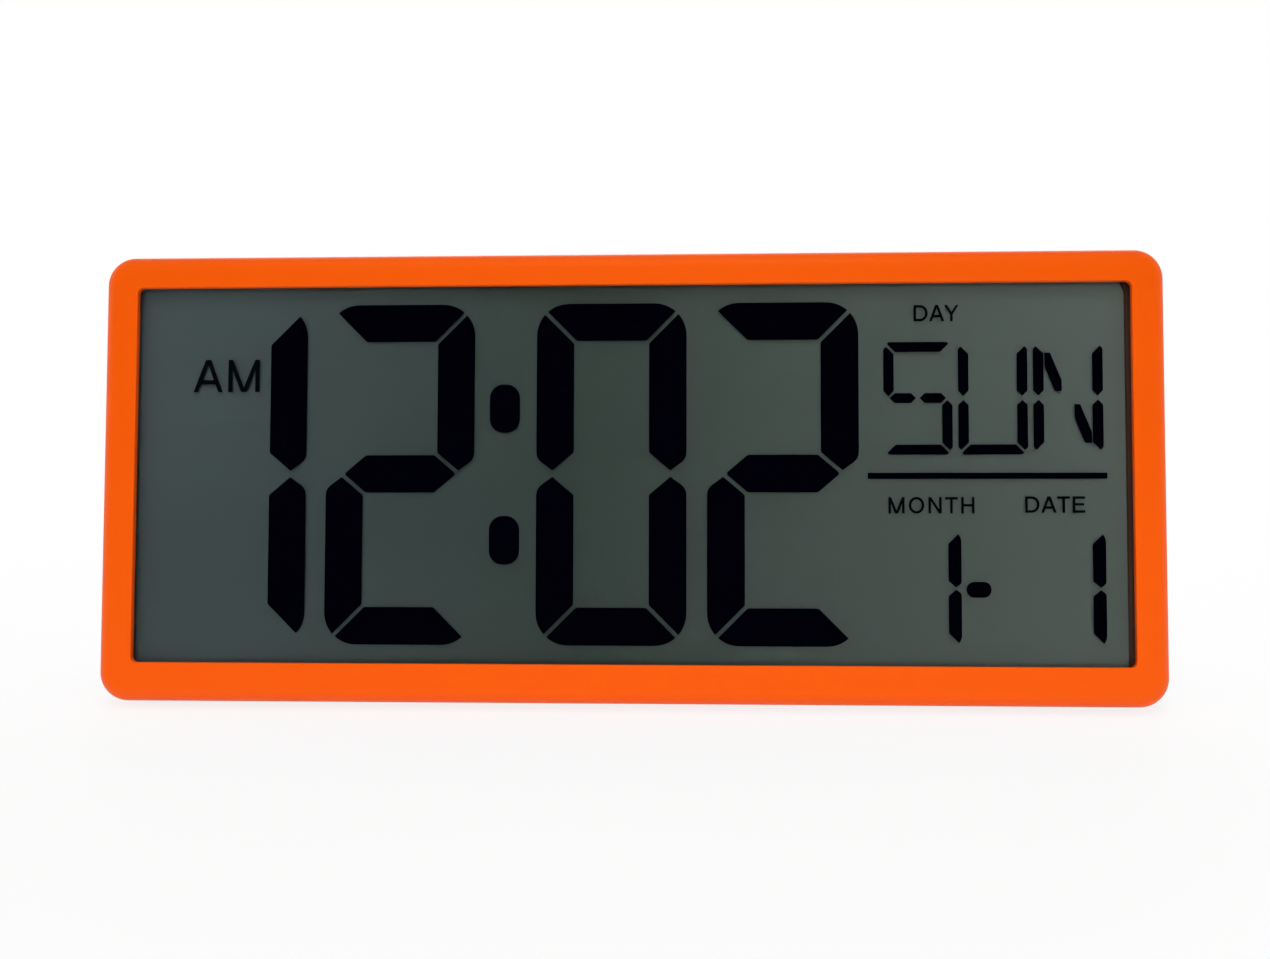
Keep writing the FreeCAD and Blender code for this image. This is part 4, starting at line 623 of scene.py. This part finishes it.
# ---------------------------------------------------------------- rear cover, door and stand
# The cover, the battery door and the leg are moulded in charcoal ABS against a spark-eroded face,
# which leaves a fine, even, matt texture. The buttons are satin grey ABS, and the leg's foot is dull
# black rubber.

finish_node("rear_cover", moulded_plastic("charcoal ABS, spark-eroded", "#2E3033", "#2A2C2F",
                                          rough=(0.52, 0.68), grain=(0.45, 0.03)))
finish_node("battery_door", moulded_plastic("charcoal ABS, battery door", "#303235", "#2C2E31",
                                            rough=(0.50, 0.66), grain=(0.45, 0.03)))
finish_node("stand_leg", moulded_plastic("charcoal ABS, stand", "#2C2E31", "#28292C",
                                         rough=(0.48, 0.62), grain=(0.45, 0.025)))
button = moulded_plastic("grey ABS, buttons", "#8E9194", "#888B8E",
                         rough=(0.38, 0.48), grain=(0.5, 0.008))
for node in ("button_mode", "button_set", "button_up", "button_down"):
    finish_node(node, button)
finish_node("stand_foot", moulded_plastic("black rubber, foot", "#141414", "#1B1B1B",
                                          rough=(0.75, 0.9), grain=(0.5, 0.04)))


# ---------------------------------------------------------------- marks at the buttons
# Pale grey ink is pad printed on the cover, above each button: MODE, SET and two triangles, which
# are read from behind the clock. It is thin and covers a little unevenly.

def pad_ink():
    cover_size = 0.6
    material, tree, shader = new_finish("pale grey pad ink")
    place = add(tree, "TexCoord").outputs["Object"]
    cover = add(tree, "TexNoise", {"Vector": place, "Scale": 1 / (cover_size * mm), "Detail": 2.0})
    tone = add(tree, "Mix", {"Factor": cover.outputs["Fac"], "A": colour("#B4B7B9"),
                             "B": colour("#A6A9AC")}, data_type="RGBA")
    tree.links.new(tone.outputs["Result"], shader.inputs["Base Color"])
    shader.inputs["Roughness"].default_value = 0.5
    return material


# The back face's own frame, seen from behind: X right, Z up, and its origin behind the case's middle.
front_y, front_z, case_depth = -13.442, 79.414, 27.0
back_face = (Matrix.Translation((0, front_y * mm, front_z * mm)) @ lean
             @ Matrix.Translation((0, case_depth * mm, 0)) @ Matrix.Rotation(radians(180), 4, "Z"))
mode_at, set_at, up_at, down_at = 80.0, 98.0, 116.0, 134.0
mode_reach, set_reach, arrow_reach, arrow_slope = 5.3, 3.6, 1.8, 35
mark_low, mark_high, mark_stroke = -50.2, -47.6, 0.45
ink = pad_ink()
marks = [word("mark_mode", "MODE", mode_at - mode_reach, mark_low, mode_at + mode_reach, mark_high,
              mark_stroke),
         word("mark_set", "SET", set_at - set_reach, mark_low, set_at + set_reach, mark_high,
              mark_stroke),
         bar(up_at - arrow_reach, mark_low, up_at + arrow_reach, mark_high,
             [(up_at, mark_high, arrow_slope), (up_at, mark_high, 180 - arrow_slope)]),
         bar(down_at - arrow_reach, mark_low, down_at + arrow_reach, mark_high,
             [(down_at, mark_low, -arrow_slope), (down_at, mark_low, arrow_slope - 180)])]
marks[2].name, marks[3].name = "mark_up", "mark_down"
for mark in marks:
    mark.data.transform(back_face)
    mark.data.materials.append(ink)
    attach(mark, "case")


# ---------------------------------------------------------------- batteries and leads
# Two AA cells in a smooth, glossy printed sleeve. Soft stranded leads in PVC, with a soft shine, run
# from the contacts to the board.

def sleeve(name, band_start, band_end):
    """A grey-blue sleeve with one pale band near the positive end, between two places along X."""
    material, tree, shader = new_finish(name)
    place = add(tree, "TexCoord").outputs["Object"]
    along = add(tree, "SeparateXYZ", {0: place}).outputs["X"]
    after = add(tree, "Math", {0: along, 1: band_start}, operation="GREATER_THAN").outputs[0]
    before = add(tree, "Math", {0: along, 1: band_end}, operation="LESS_THAN").outputs[0]
    band = add(tree, "Math", {0: after, 1: before}, operation="MULTIPLY").outputs[0]
    tone = add(tree, "Mix", {"Factor": band, "A": colour("#3E5166"), "B": colour("#C9CDD0")},
               data_type="RGBA")
    tree.links.new(tone.outputs["Result"], shader.inputs["Base Color"])
    shader.inputs["Roughness"].default_value = 0.28
    shader.inputs["Coat Weight"].default_value = 0.3
    return material


finish_node("battery_cell_upper", sleeve("cell sleeve, upper", 0.108, 0.118))
finish_node("battery_cell_lower", sleeve("cell sleeve, lower", 0.072, 0.082))
finish_node("battery_lead_red",
            moulded_plastic("red PVC", "#A5120E", "#9C100C", rough=(0.3, 0.4), grain=(1.0, 0.01)))
finish_node("battery_lead_black",
            moulded_plastic("black PVC", "#121212", "#181818", rough=(0.3, 0.4), grain=(1.0, 0.01)))
